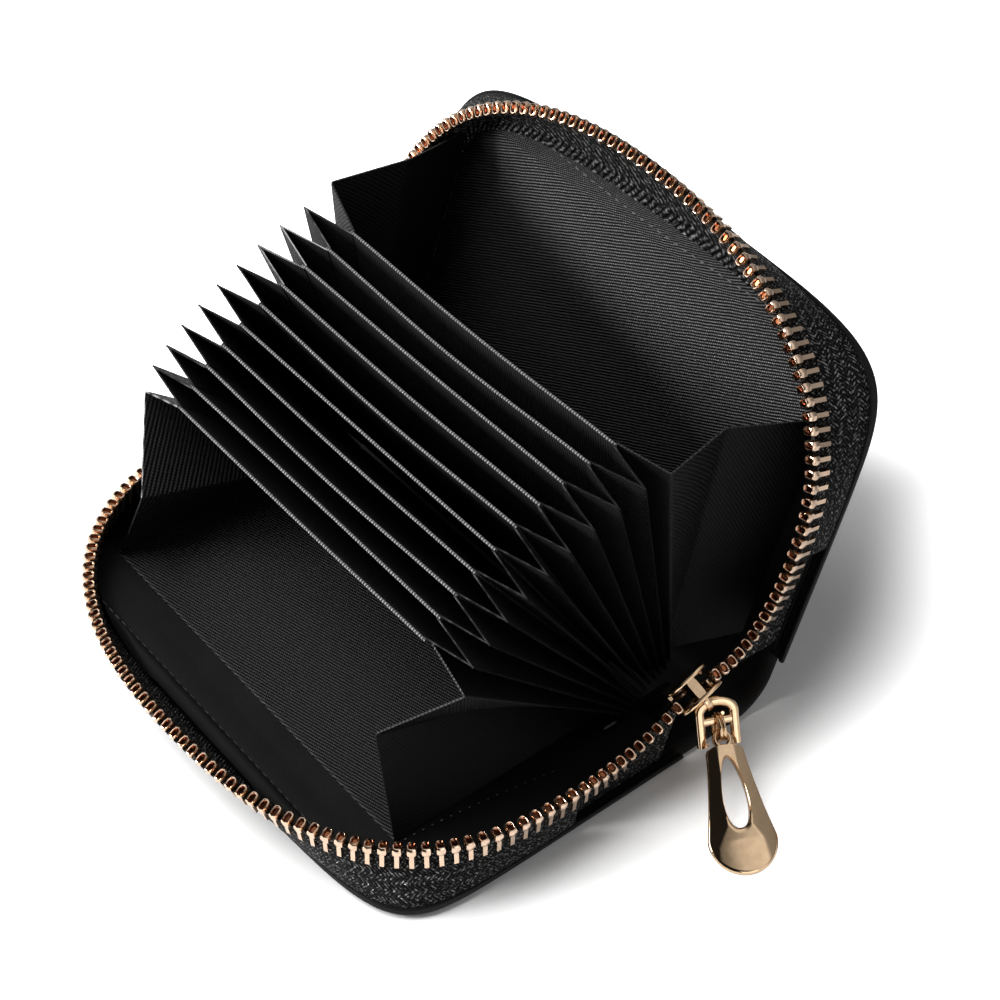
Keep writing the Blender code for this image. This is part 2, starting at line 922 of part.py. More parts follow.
def zip_anchor():
    """The folded tape end: it stands under the stub and lies flat on the spine's lining."""
    low = leather_thickness + 2 * gap + lining_thickness
    high = low + tape_thickness
    knee = -(half_length - anchor_knee)
    rise = knee - anchor_lean
    outline = [
        (rise, anchor_height), (knee, low), (knee + anchor_run, low),
        (knee + anchor_run, high), (knee + tape_thickness, high),
        (rise + tape_thickness, anchor_height),
    ]
    origin = (slider_centre.x + anchor_shift, 0, 0)
    place = frame_matrix(origin, (0, 1, 0), (0, 0, 1), (1, 0, 0))
    weave = finish("zip_end_anchor_weave", tape_colour, 0.8)
    return attach(plate("zip_end_anchor", [outline], anchor_width, weave, place), spine_hinge)


zip_stub()
zip_anchor()


# The free ends of both zips, from each cover to the slider's mouth

def bezier(points, count):
    t = np.linspace(0, 1, count)[:, None]
    p = [np.asarray(q, float) for q in points]
    return (1 - t) ** 3 * p[0] + 3 * t * (1 - t) ** 2 * p[1] + 3 * t**2 * (1 - t) * p[2] + t**3 * p[3]


def chain_end(cover, side, free_run):
    """The last teeth bend off the cover and turn towards each other into the slider."""
    wall = walls[cover.name]
    inset = leather_thickness + gap + tape_thickness / 2
    at = fixed_tape_start - gap
    v, y, w = wall.at(np.array([at]), tooth_foot, inset)[0]
    start = cover.point(-abs(y), v, w)
    before = start - free_run * cover.out
    from_post = side * (slider_width - tape_thickness) / 2
    entry = mouth_centre + slider_across * from_post + slider_out * gap
    lead = entry + Vector((side * free_lead_across, 0, -free_lead_down))
    path = bezier((start, before, np.array(lead), np.array(entry)), 60)
    along = arc_length(path)
    distances, full = tooth_stations(0.0, along[-1])
    distances = distances * along[-1] / distances[-1]
    centres = sample(path, along, distances)
    share = (distances / along[-1])[:, None]
    share = share * share * (3 - 2 * share)
    tangent = np.gradient(centres, axis=0)
    tangent /= np.linalg.norm(tangent, axis=1)[:, None]
    rise = (1 - share) * cover.inward + share * np.array(slider_out)
    rise -= tangent * np.sum(rise * tangent, axis=1)[:, None]
    rise /= np.linalg.norm(rise, axis=1)[:, None]
    across = np.cross(tangent, rise)
    across /= np.linalg.norm(across, axis=1)[:, None]
    rings = tooth_rings(centres, rise, across, full * 0.85)
    name = cover.name + "_zip_teeth_end"
    carry(loft(name, rings, metal(name)), cover)
    return centres, rise, across


def tape_end(cover, centres, rise, across):
    """The tape between the cover's rim and the free teeth."""
    centres, rise, across = centres[::3], rise[::3], across[::3]
    top = centres - gap * rise
    over = across * tape_thickness / 2
    v_values = np.linspace(fixed_tape_start - gap, 2 * fold_clearance, len(centres))
    inset = leather_thickness + gap + tape_thickness / 2
    foot = []
    for v in v_values:
        wall_point = walls[cover.name].at(np.array([v]), tape_foot, inset)[0]
        foot.append(cover.point(-abs(wall_point[1]), wall_point[0], tape_foot + 0.0002))
    foot = np.array(foot)
    flat = np.tile((0.0, 1.0, 0.0), (len(centres), 1)) * tape_thickness / 2
    sign = np.sign(np.sum(over * flat, axis=1))[:, None]
    over = over * np.where(sign == 0, 1, sign)
    rings = np.stack([foot - flat, top - over, top + over, foot + flat], axis=1)
    name = cover.name + "_zip_tape_end"
    return carry(loft(name, rings, finish(name + "_weave", tape_colour, 0.8)), cover)


tape_end(left_cover, *chain_end(left_cover, -1, left_free_run))
tape_end(right_cover, *chain_end(right_cover, 1, right_free_run))


# The link, its wire ring and the pull

def hanging_frame(yaw, drop):
    """Axes of a flat piece that hangs: across it, down it, and out of its face.

    yaw turns it from -Y towards -X, and drop is its slope below the horizontal.
    """
    yaw, drop = math.radians(yaw), math.radians(drop)
    across = Vector((math.cos(yaw), -math.sin(yaw), 0))
    away = Vector((-math.sin(yaw), -math.cos(yaw), 0))
    down = away * math.cos(drop) - Vector((0, 0, 1)) * math.sin(drop)
    return across, down, across.cross(down)


link_across, link_down, link_normal = hanging_frame(link_yaw, 90 - link_lean)
bar_height = slider_thickness / 2 + gap + bridge_opening
link_pivot = slider_centre + slider_face * bar_height + slider_out * bridge_offset
link_hinge = joint_empty("link_swing_axis", link_pivot, slider_hinge)


def arch(half, rise, steps=10):
    """Points over a flattened arch of a given half width, rising from the shoulder."""
    turn = np.linspace(0, math.pi, steps)
    return [(half * math.cos(a), link_shoulder - rise * math.sin(a)) for a in turn]


def link():
    """A D-shaped loop with a crossbar and two legs, cut from one flat casting."""
    half = link_width / 2
    inner = half - link_bar
    bar_low = link_crossbar_drop + link_bar / 2
    bar_high = link_crossbar_drop - link_bar / 2
    foot = link_length - link_bar / 2
    outer = (
        arch(half, link_shoulder + link_bar / 2)
        + [(-half, foot), (-inner, foot), (-inner, bar_low)]
        + [(inner, bar_low), (inner, foot), (half, foot)]
    )
    hole = arch(inner, link_shoulder - link_bar / 2) + [(-inner, bar_high), (inner, bar_high)]
    origin = link_pivot + link_across * link_shift
    place = frame_matrix(origin, link_across, link_down, link_normal)
    item = plate("pull_link", [outer, hole], link_bar, metal("link", pale_gold), place)
    return attach(item, link_hinge)


link()

crossbar = link_pivot + link_across * ring_shift + link_down * link_crossbar_drop
ring_hinge = joint_empty("ring_swing_axis", crossbar, link_hinge)
ring_reach = ring_radius - ring_wire - gap - link_bar / 2
ring_centre = crossbar + link_down * ring_reach
pull_hinge = joint_empty("pull_turn_axis", ring_centre, ring_hinge)
pull_across, pull_down, pull_normal = hanging_frame(pull_yaw, pull_drop)


def wire_ring():
    bpy.ops.mesh.primitive_torus_add(
        major_radius=ring_radius, minor_radius=ring_wire, major_segments=14, minor_segments=6
    )
    item = bpy.context.active_object
    item.name = "pull_ring"
    item.data.name = "pull_ring"
    for collection in list(item.users_collection):
        collection.objects.unlink(item)
    parts.objects.link(item)
    item.data.materials.append(metal("ring", pale_gold))
    item.matrix_world = frame_matrix(ring_centre, link_down, link_normal, link_across)
    return attach(item, ring_hinge)


def ellipse(centre_y, half_x, half_y, steps):
    turn = np.linspace(0, 2 * math.pi, steps + 1)[:-1]
    return [(half_x * math.cos(a), centre_y + half_y * math.sin(a)) for a in turn]


def pull():
    """A drop-shaped pull with an eye for the ring and a long oval slot."""
    top, wide = pull_top_width / 2, pull_widest / 2
    steps = np.linspace(0, 1, 7)
    shoulder = pull_neck_length + pull_eye_margin
    run = pull_widest_at - shoulder
    neck = [(pull_neck_width / 2, 0), (pull_neck_width / 2, pull_neck_length)]
    right = neck + [(top + (wide - top) * s ** 1.3, shoulder + run * s) for s in steps]
    end = pull_length - pull_widest_at
    turn = np.linspace(0, math.pi, 13)[1:-1]
    tip = [(wide * math.cos(a), pull_widest_at + end * math.sin(a)) for a in turn]
    left = [(-x, y) for x, y in right[::-1]]
    slot_middle = pull_slot_from_top + pull_slot_length / 2
    slot = ellipse(slot_middle, pull_slot_width / 2, pull_slot_length / 2, 16)
    eye_at = pull_eye_radius + pull_eye_margin
    eye = ellipse(eye_at, pull_eye_radius, pull_eye_radius, 8)
    origin = ring_centre + pull_down * (ring_radius - eye_at)
    place = frame_matrix(origin, pull_across, pull_down, pull_normal)
    item = plate(
        "pull_tab",
        [right + tip + left, slot, eye],
        pull_thickness - 2 * pull_bevel,
        metal("pull", pale_gold),
        place,
    )
    item.data.bevel_depth = pull_bevel
    item.data.bevel_resolution = 0
    item.data.offset = -pull_bevel
    return attach(item, pull_hinge)


wire_ring()
pull()
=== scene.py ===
# %% [markdown]
# # A card wallet, lying open
# The wallet is two leather covers on a spine, with an accordion of cloth dividers between
# them and a metal zip round three sides of each cover. The solids come from the packed
# model. This script dresses them: leather, cloth, tape, thread and gold, with the shapes
# that such things have when one looks closely. Lengths here are in millimetres, and a mesh
# is turned to metres when it is made.

import math

import bmesh
import bpy
import numpy as np
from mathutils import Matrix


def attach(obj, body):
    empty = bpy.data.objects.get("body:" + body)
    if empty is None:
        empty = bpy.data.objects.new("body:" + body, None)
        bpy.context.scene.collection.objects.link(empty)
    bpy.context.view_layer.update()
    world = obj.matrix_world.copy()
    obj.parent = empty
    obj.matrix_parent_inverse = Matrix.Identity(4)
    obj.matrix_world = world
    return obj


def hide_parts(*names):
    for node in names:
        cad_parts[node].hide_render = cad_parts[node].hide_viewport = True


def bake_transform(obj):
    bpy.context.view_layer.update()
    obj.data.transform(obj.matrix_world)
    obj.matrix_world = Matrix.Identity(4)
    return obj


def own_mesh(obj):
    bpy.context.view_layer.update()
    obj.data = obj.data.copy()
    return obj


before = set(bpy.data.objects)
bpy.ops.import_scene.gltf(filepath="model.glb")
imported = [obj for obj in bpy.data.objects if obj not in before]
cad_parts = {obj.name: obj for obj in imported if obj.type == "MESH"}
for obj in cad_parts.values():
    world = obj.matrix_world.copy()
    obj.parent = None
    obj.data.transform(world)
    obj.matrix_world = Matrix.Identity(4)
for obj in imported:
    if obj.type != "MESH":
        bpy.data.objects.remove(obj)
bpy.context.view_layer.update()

# %% [markdown]
# ## Camera, floor and light
# The photograph is a studio shot with a long lens, from above the near left corner. A fit
# to the outlines of both covers gave the camera's place. The picture is plain white, with
# a soft grey shadow to the right and below. A wide lamp at the back left casts it, and away
# from the wallet the floor glows to the camera, so that it stays pure white there: that glow
# paints white over the shadow's outer part, so the shadow's border is painted.

# %% Camera
camera_place = (-147.1, -228.3, 296.8)
camera_target = (30, -7, 25)


def metres(*point):
    """Millimetres as a tuple in metres."""
    return tuple(float(x) / 1000 for x in point)


def new_object(name, data):
    """An object in the scene for a mesh, a lamp or a camera."""
    item = bpy.data.objects.new(name, data)
    bpy.context.scene.collection.objects.link(item)
    return item


def aim(item, place, target):
    """Puts a camera or lamp at place, with its -Z axis through target."""
    way = np.array(target, float) - np.array(place, float)
    flat = math.hypot(way[0], way[1])
    item.location = metres(*place)
    item.rotation_euler = (math.atan2(flat, -way[2]), 0, math.atan2(-way[0], way[1]))


camera = new_object("photo_camera", bpy.data.cameras.new("photo_camera"))
camera.data.lens = 81.5
camera.data.sensor_width = 36
aim(camera, camera_place, camera_target)
bpy.context.scene.camera = camera
bpy.context.scene.view_settings.view_transform = "Standard"
print("camera at", camera_place)

# %% Node helpers
def new_node(tree, kind, settings=None, **inputs):
    """A node with settings on itself and values on its sockets, by name or by place."""
    made = tree.nodes.new("ShaderNode" + kind)
    for key, value in (settings or {}).items():
        setattr(made, key, value)
    for key, value in inputs.items():
        socket = made.inputs[int(key[1:])] if key[:1] == "_" else made.inputs[key]
        if isinstance(value, bpy.types.NodeSocket):
            tree.links.new(value, socket)
        else:
            socket.default_value = value
    return made


def maths(operation, *values):
    """The output of a Math node, in the tree that the first socket among its values is in."""
    tree = next(value.id_data for value in values if isinstance(value, bpy.types.NodeSocket))
    inputs = {"_%d" % i: value for i, value in enumerate(values)}
    return new_node(tree, "Math", {"operation": operation}, **inputs).outputs[0]


def mixed(share, first, second):
    """The colour between two, by share."""
    kind = {"data_type": "RGBA"}
    return new_node(share.id_data, "Mix", kind, _0=share, _6=first, _7=second).outputs[2]


def grey(value):
    """A colour of three equal parts."""
    return (value, value, value, 1.0)


def noise(place, scale, detail=2.0):
    """Cloudy noise from 0 to 1."""
    made = new_node(place.id_data, "TexNoise", Vector=place, Scale=scale, Detail=detail)
    return made.outputs[0]


def own_place(tree):
    """Where a point lies in its own object, in metres."""
    return new_node(tree, "TexCoord").outputs["Object"]


def split(place):
    """The x and the y of a place."""
    return new_node(place.id_data, "SeparateXYZ", Vector=place).outputs[:2]


def feed(node, **sockets):
    """Links values to a node's sockets: base_color goes to Base Color."""
    for key, value in sockets.items():
        node.id_data.links.new(value, node.inputs[key.replace("_", " ").title()])


def start_material(name, roughness, specular):
    """A material with its Principled shader, and constants set on the shader itself."""
    made = bpy.data.materials.new(name)
    made.use_nodes = True
    shader = made.node_tree.nodes["Principled BSDF"]
    shader.inputs["Roughness"].default_value = roughness
    shader.inputs["Specular IOR Level"].default_value = specular
    return made, made.node_tree, shader


# %% World and lamps
# What metal mirrors, from left to right: places along a ramp and how bright it is there.
studio_tones = ((0.41, 0.012), (0.48, 0.2), (0.53, 0.7), (0.62, 0.9), (0.74, 0.35), (0.9, 0.15))


def white_world():
    """White to the camera, dark to bright from left to right in reflections, grey elsewhere."""
    world = bpy.data.worlds.new("studio")
    bpy.context.scene.world = world
    world.use_nodes = True
    tree = world.node_tree
    tree.nodes.clear()
    ray = new_node(tree, "LightPath").outputs
    seen = maths("MAXIMUM", ray["Is Camera Ray"], ray["Is Transmission Ray"])
    x, y = split(new_node(tree, "TexCoord").outputs["Generated"])
    slope = maths("ADD", maths("MULTIPLY", x, 0.8), maths("MULTIPLY", y, -0.1))
    ramp = new_node(tree, "ValToRGB", Fac=maths("MULTIPLY_ADD", slope, 0.5, 0.5))
    stops = ramp.color_ramp.elements
    for end in (0, -1):
        stops[end].position, stops[end].color = studio_tones[end][0], grey(studio_tones[end][1])
    for position, tone in studio_tones[1:-1]:
        stops.new(position).color = grey(tone)
    soft = mixed(ray["Is Glossy Ray"], grey(0.16), ramp.outputs[0])
    colour = mixed(seen, soft, grey(1.0))
    sky = new_node(tree, "Background", Color=colour, Strength=1.0)
    feed(new_node(tree, "OutputWorld"), surface=sky.outputs[0])


def lamp(name, place, target, watts, side, mirrored=True):
    """A soft square lamp; the overhead one is kept out of reflections."""
    data = bpy.data.lights.new(name, "AREA")
    data.size = side / 1000
    data.energy = watts
    item = new_object(name, data)
    item.visible_glossy = mirrored
    aim(item, place, target)


white_world()
lamp("key", (-190, 190, 500), (25, 0, 20), 4.0, 420, False)
lamp("side", (-420, 260, 200), (25, 0, 30), 2.6, 180)
lamp("front", (-120, -520, 160), (20, -20, 10), 0.4, 300)


# %% Floor
# The shadow's soft border, painted by the floor's glow: six lines on the floor, each a direction and
# its reach in metres.
shadow_edges = [
    ((0, -1, 0), 0.056), ((0.305, -0.952, 0), 0.0686), ((0.625, -0.78, 0), 0.0843),
    ((-1, 0, 0), 0.032), ((0, 1, 0), 0.057), ((0.954, 0.3, 0), 0.0876),
]
shadow_fade = (0.001, 0.025)


def floor_material():
    """White paper that glows to the camera alone, except near the wallet, in its shadow."""
    made, tree, shader = start_material("floor_white", 0.9, 0.1)
    place = own_place(tree)
    tone = maths("MULTIPLY_ADD", noise(place, 900.0, 3.0), 0.03, 0.86)
    away = None
    for way, reach in shadow_edges:
        dot = new_node(tree, "VectorMath", {"operation": "DOT_PRODUCT"}, _0=place, _1=way)
        beyond = maths("SUBTRACT", dot.outputs["Value"], reach)
        away = beyond if away is None else maths("SMOOTH_MAX", away, beyond, 0.01)
    fade = {"_0": away, "_1": shadow_fade[0], "_2": shadow_fade[1]}
    far = new_node(tree, "MapRange", {"interpolation_type": "SMOOTHSTEP"}, **fade).outputs[0]
    seen = new_node(tree, "LightPath").outputs["Is Camera Ray"]
    glow = maths("MULTIPLY", seen, maths("MULTIPLY_ADD", far, 0.97, 0.03))
    feed(shader, base_color=tone, emission_color=glow)
    shader.inputs["Emission Strength"].default_value = 1.0
    return made


def floor():
    """A wide sheet under the wallet, just below its underside."""
    mesh = bpy.data.meshes.new("floor")
    wide, low = 3.0, -0.0004
    corners = [(-wide, -wide, low), (wide, -wide, low), (wide, wide, low), (-wide, wide, low)]
    mesh.from_pydata(corners, [], [(0, 1, 2, 3)])
    mesh.materials.append(floor_material())
    new_object("floor", mesh)


floor()
print("floor made")

# %% [markdown]
# ## How a piece is made
# Every piece is a surface worked out with numpy: a grid of points, rows by columns, that is
# a formula of two numbers. Grids are sewn into one skin where their edges meet. Each grid
# carries its own distances in millimetres as a UV map, so a weave follows the cloth, and a
# mask that says where an edge or a hollow is.

# %% Grids and skins
def unit(vectors):
    """Vectors scaled to length one."""
    return vectors / np.maximum(np.linalg.norm(vectors, axis=-1, keepdims=True), 1e-9)


def spread(*arrays):
    """Arrays and numbers brought to one size."""
    return np.broadcast_arrays(*(np.asarray(array, float) for array in arrays))


def xyz(*columns):
    """Points from their x, y and z, each an array or a number."""
    return np.stack(spread(*columns), -1)


def ease(t):
    """0 to 1 with a smooth start and end: 3 t squared less 2 t cubed."""
    t = np.clip(t, 0, 1)
    return t * t * (3 - 2 * t)


def dome(x, least=0.0):
    """The square root of 1 - x, where 1 - x is kept from least to 1."""
    return np.sqrt(np.clip(1 - x, least, 1))


def heading(path):
    """Which way a path runs at each of its points."""
    return unit(np.gradient(path, axis=0))


def travelled(points, axis):
    """Distance along one axis of a grid, averaged over the other."""
    step = np.linalg.norm(np.diff(points, axis=axis), axis=-1).mean(axis=1 - axis)
    return np.concatenate([[0], np.cumsum(step)])


def at_distance(at, along, path):
    """Points of a path at distances along it."""
    return np.stack([np.interp(at, along, column) for column in path.T], -1)


def cloth_uv(points):
    """Millimetres along the columns and along the rows of a grid."""
    return np.stack(np.meshgrid(travelled(points, 1), travelled(points, 0)), -1)


def patch(points, mask=0.0, uv=None):
    """A grid with its map and mask."""
    uv = cloth_uv(points) if uv is None else uv
    return points, uv, np.broadcast_to(mask, points.shape[:2])


def quads(rows, cols):
    """Corner numbers of the faces of a grid."""
    index = np.arange(rows * cols).reshape(rows, cols)
    corners = [index[:-1, :-1], index[:-1, 1:], index[1:, 1:], index[1:, :-1]]
    return np.stack(corners, -1).reshape(-1, 4)


def finish_mesh(name, points, faces, uv, mask, material, sharp):
    """Puts points, faces, map and mask into a mesh, sews it up and turns faces outwards."""
    mesh = bpy.data.meshes.new(name)
    mesh.from_pydata((points / 1000).tolist(), [], faces)
    corner = np.zeros(len(mesh.loops), int)
    mesh.loops.foreach_get("vertex_index", corner)
    mesh.uv_layers.new(name="cloth").data.foreach_set("uv", uv[corner].ravel())
    mesh.attributes.new("mask", "FLOAT", "POINT").data.foreach_set("value", mask)
    shape = bmesh.new()
    shape.from_mesh(mesh)
    bmesh.ops.remove_doubles(shape, verts=shape.verts, dist=2e-6)
    bmesh.ops.recalc_face_normals(shape, faces=shape.faces)
    shape.to_mesh(mesh)
    shape.free()
    mesh.shade_smooth()
    mesh.set_sharp_from_angle(angle=math.radians(sharp))
    mesh.materials.append(material)
    return new_object(name, mesh)


def build(name, patches, material, sharp, ends=()):
    """One piece from patches; ends are flat loops of points, each closed by one face."""
    points, uv, mask, faces, start = [], [], [], [], 0
    for grid, chart, share in patches:
        rows, cols = grid.shape[:2]
        points.append(grid.reshape(-1, 3))
        uv.append(chart.reshape(-1, 2))
        mask.append(share.ravel())
        faces += (quads(rows, cols) + start).tolist()
        start += rows * cols
    for loop in ends:
        points.append(loop)
        uv.append(loop[:, :2])
        mask.append(np.zeros(len(loop)))
        faces.append(list(range(start, start + len(loop))))
        start += len(loop)
    arrays = (np.concatenate(points), faces, np.concatenate(uv), np.concatenate(mask))
    return finish_mesh(name, *arrays, material, sharp)


def between(front, back, mask=0.0):
    """A closed sheet between two grids of the same size: both faces and the four edges."""
    mask, uv = np.broadcast_to(mask, front.shape[:2]), cloth_uv(front)
    patches = [patch(front, mask, uv), patch(back, mask, uv)]
    for take in (np.s_[0], np.s_[-1], np.s_[:, 0], np.s_[:, -1]):
        pairs = ((front, back), (mask, mask), (uv, uv))
        patches.append(patch(*(np.stack([a[take], b[take]]) for a, b in pairs)))
    return patches


def sheet(front, thickness, mask=0.0):
    """A closed sheet whose back is moved against the normals, columns cross rows."""
    normal = unit(np.cross(np.gradient(front, axis=1), np.gradient(front, axis=0)))
    return between(front, front - normal * thickness, mask)


def oval(half_width, half_height, roundness=2.0, count=16):
    """A closed superellipse: cosine and sine raised to 2 / roundness, ends repeated."""
    turn = np.linspace(0, 2 * np.pi, count + 1)
    c, s = np.cos(turn), np.sin(turn)
    x = half_width * np.sign(c) * np.abs(c) ** (2 / roundness)
    y = half_height * np.sign(s) * np.abs(s) ** (2 / roundness)
    return np.stack([x, y], -1)


def capped(rings):
    """Rings along a bar, and at each end a fan of faces to its middle."""
    fans = (np.stack([end, end * 0 + end.mean(axis=0)]) for end in (rings[0], rings[-1]))
    return [rings, *fans]


def sweep(path, side, up, profile, onto=np.asarray):
    """A bar: each ring is path + side times x + up times y, then moved by onto."""
    side, up = (np.broadcast_to(axis, path.shape)[:, None] for axis in (side, up))
    rings = path[:, None] + profile[..., :1] * side + profile[..., 1:] * up
    return [patch(onto(grid)) for grid in capped(rings)]


def placed(points, origin, *axes):
    """Points from a piece's own three axes into the wallet's."""
    return origin + points @ np.stack(axes)


# %% Small copies and what a piece stands for
def tube_faces(rings, around):
    """Corner numbers of the faces round a tube of closed rings."""
    index = np.arange(rings * around).reshape(rings, around)
    after = np.roll(index, -1, axis=1)
    return np.stack([index[:-1], after[:-1], after[1:], index[1:]], -1).reshape(-1, 4)


def copied(name, shape, faces, mask, centres, axes, material, sharp):
    """A small shape at every centre: its corner points times the three axes there."""
    points = centres[:, None] + np.einsum("kj,njc->nkc", shape, np.stack(axes, axis=1))
    shift = np.arange(len(centres))[:, None, None] * len(shape)
    faces = (faces[None] + shift).reshape(-1, 4).tolist()
    flat = points.reshape(-1, 3)
    return finish_mesh(name, flat, faces, flat[:, :2], np.tile(mask, len(centres)), material, sharp)


def belongs(item, node, body=None):
    """Hides the packed model's node that a piece stands for, and hangs the piece on the body that
    carries it whole.
    """
    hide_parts(node)
    if body:
        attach(item, body)
    return item


def blend(item, first, second, start, end):
    """Bakes the piece's placement into its mesh; the two bodies and the two points are not used."""
    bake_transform(item)


print("helpers ready")

# %% [markdown]
# ## Cloth, leather, thread and gold
# The lining is a ribbed cloth: cords about half a millimetre apart, each wrapped in finer
# yarn, so a raking light shows dashes along every rib. The zip tape is woven in chevrons.
# The leather is nearly smooth, with a fine pebble. Each weave is a node group made once:
# it puts out a height for the bump and a mask for the colour, and the shader stays outside.

# %% The ribbed cloth
def group(name, inputs, outputs):
    """An empty node group: its tree, what it is given and its end node."""
    tree = bpy.data.node_groups.new(name, "ShaderNodeTree")
    tree.interface.new_socket("Vector", in_out="INPUT", socket_type="NodeSocketVector")
    for way, keys in (("INPUT", inputs), ("OUTPUT", outputs)):
        for key in keys:
            tree.interface.new_socket(key, in_out=way, socket_type="NodeSocketFloat")
    return tree, tree.nodes.new("NodeGroupInput").outputs, tree.nodes.new("NodeGroupOutput")


def arch_wave(value):
    """Round-topped waves, one to each whole number."""
    return maths("ABSOLUTE", maths("SINE", maths("MULTIPLY", value, math.pi)))


def ribbed_group():
    """Ribs across the first axis; the yarn round each is shifted from rib to rib."""
    tree, given, result = group("ribbed_cloth", ("Turn", "Pitch", "Yarn"), ("Height", "Thread"))
    x, y = split(given["Vector"])
    c, s = maths("COSINE", given["Turn"]), maths("SINE", given["Turn"])
    over = maths("ADD", maths("MULTIPLY", x, c), maths("MULTIPLY", y, s))
    along = maths("SUBTRACT", maths("MULTIPLY", y, c), maths("MULTIPLY", x, s))
    over = maths("MULTIPLY_ADD", noise(given["Vector"], 0.35), 0.25, over)
    rib = maths("DIVIDE", over, given["Pitch"])
    yarn = maths("DIVIDE", along, given["Yarn"])
    yarn = maths("MULTIPLY_ADD", maths("FLOOR", rib), 0.37, yarn)
    ribs, yarns = arch_wave(rib), arch_wave(yarn)
    height = maths("MULTIPLY", ribs, maths("MULTIPLY_ADD", yarns, 0.3, 0.7))
    speck = maths("MULTIPLY_ADD", noise(given["Vector"], 1.7), 1.6, 0.1)
    thread = maths("MULTIPLY", maths("POWER", ribs, 3.0), yarns)
    feed(result, height=height, thread=maths("MULTIPLY", thread, speck))
    return tree


def chevron_group():
    """Diagonal strands that turn back every band, as in herringbone tape."""
    tree, given, result = group("chevron_tape", ("Band", "Pitch", "Yarn"), ("Height", "Thread"))
    x, y = split(given["Vector"])
    over = maths("ADD", x, maths("PINGPONG", y, given["Band"]))
    strand = maths("DIVIDE", over, given["Pitch"])
    row = maths("DIVIDE", y, given["Yarn"])
    row = maths("MULTIPLY_ADD", maths("FLOOR", strand), 0.5, row)
    strands, rows = arch_wave(strand), arch_wave(row)
    height = maths("MULTIPLY", strands, maths("MULTIPLY_ADD", rows, 0.55, 0.45))
    speck = maths("MULTIPLY_ADD", noise(given["Vector"], 1.5), 6.0, -2.9)
    speck = maths("MINIMUM", maths("MAXIMUM", speck, 0.03), 1.0)
    thread = maths("MULTIPLY", maths("POWER", height, 2.0), speck)
    feed(result, height=height, thread=thread)
    return tree


ribbed = ribbed_group()
chevron = chevron_group()
print("groups", ribbed.name, chevron.name)


# %% Cloth materials
def woven(tree, weave, **sizes):
    """A weave's height and mask, laid on the piece's map of millimetres."""
    chart = new_node(tree, "UVMap", {"uv_map": "cloth"}).outputs[0]
    return new_node(tree, "Group", {"node_tree": weave}, Vector=chart, **sizes).outputs


def mask_of(tree):
    """The piece's own mask."""
    return new_node(tree, "Attribute", {"attribute_name": "mask"}).outputs["Fac"]


def bump(shader, height, strength, distance):
    """Tilts the shader's normal by the slope of a height."""
    sizes = {"Height": height, "Strength": strength, "Distance": distance}
    feed(shader, normal=new_node(shader.id_data, "Bump", **sizes).outputs[0])


def ribbed_cloth(name, turn, pitch=0.55, yarn=0.42, light=0.05, edge=0.3, depth=0.0003,
                 dots="Height", gloss=0.25):
    """Black ribbed cloth. Its crests shine like silk. Mask 1 is a light edge, and on the dividers'
    folds a painted highlight; -1 is all dark, and on the right panel a painted shade.
    """
    made, tree, shader = start_material(name, 0.5, gloss)
    weave, mask = woven(tree, ribbed, Turn=turn, Pitch=pitch, Yarn=yarn), mask_of(tree)
    # Below 0 the mask takes the crests away: painted shade where the right panel uses it.
    shown = maths("MINIMUM", maths("ADD", mask, 1.0), 1.0)
    thread = maths("MULTIPLY", weave["Thread"], shown)
    plain = mixed(thread, grey(ribbed_dark), grey(light))
    light_edge = maths("POWER", weave[dots], 1.6 if dots == "Height" else 1.0)
    light_edge = maths("MULTIPLY", maths("MAXIMUM", mask, 0.0), light_edge)
    rough = maths("MULTIPLY_ADD", thread, -0.3, 0.7)
    colour = mixed(light_edge, plain, grey(edge))
    feed(shader, base_color=colour, metallic=thread, roughness=rough)
    bump(shader, weave["Height"], 1.0, depth)
    return made


def tape_cloth(name, band, pitch, yarn, light):
    """Black chevron tape, with the crests of some strands glinting."""
    made, tree, shader = start_material(name, 0.5, 0.12)
    weave = woven(tree, chevron, Band=band, Pitch=pitch, Yarn=yarn)
    thread = weave["Thread"]
    rough = maths("MULTIPLY_ADD", thread, -0.35, 0.65)
    colour = mixed(thread, grey(tape_dark), grey(light))
    feed(shader, base_color=colour, metallic=thread, roughness=rough)
    bump(shader, weave["Height"], 1.0, 0.0005)
    return made


# %% Leather, thread, gold and board
def smooth_leather(name, tone=0.0025):
    """Black leather: a fine pebble and an uneven gloss."""
    made, tree, shader = start_material(name, 0.5, 0.25)
    place = own_place(tree)
    pebble = new_node(tree, "TexVoronoi", Vector=place, Scale=2600.0)
    blotch = noise(place, 140.0, 3.0)
    tint = mixed(blotch, grey(tone * 0.7), grey(tone * 1.5))
    feed(shader, base_color=tint, roughness=maths("MULTIPLY_ADD", blotch, 0.2, 0.44))
    bump(shader, pebble.outputs["Distance"], 0.35, 0.00008)
    return made


def fibrous(name, roughness, specular, scale, detail, deep, pale, strength):
    """Twisted thread or pressed board: one noise for its colour and its bumps."""
    made, tree, shader = start_material(name, roughness, specular)
    fibre = noise(own_place(tree), scale, detail)
    feed(shader, base_color=mixed(fibre, deep, pale))
    bump(shader, fibre, strength, 0.0001)
    return made


def gold(name, bright, deep, roughness):
    """Plated metal: bright on the outside, with faint rub marks, and deep where the mask is: painted
    shade in the teeth's hollows.
    """
    made, tree, shader = start_material(name, roughness, 0.5)
    shader.inputs["Metallic"].default_value = 1.0
    rub = noise(own_place(tree), 700.0, 4.0)
    rough = maths("MULTIPLY_ADD", rub, 0.16, roughness - 0.06)
    shade = mixed(maths("MULTIPLY", rub, 0.35), bright, deep)
    feed(shader, base_color=mixed(mask_of(tree), shade, deep), roughness=rough)
    bump(shader, rub, 0.12, 0.00006)
    return made


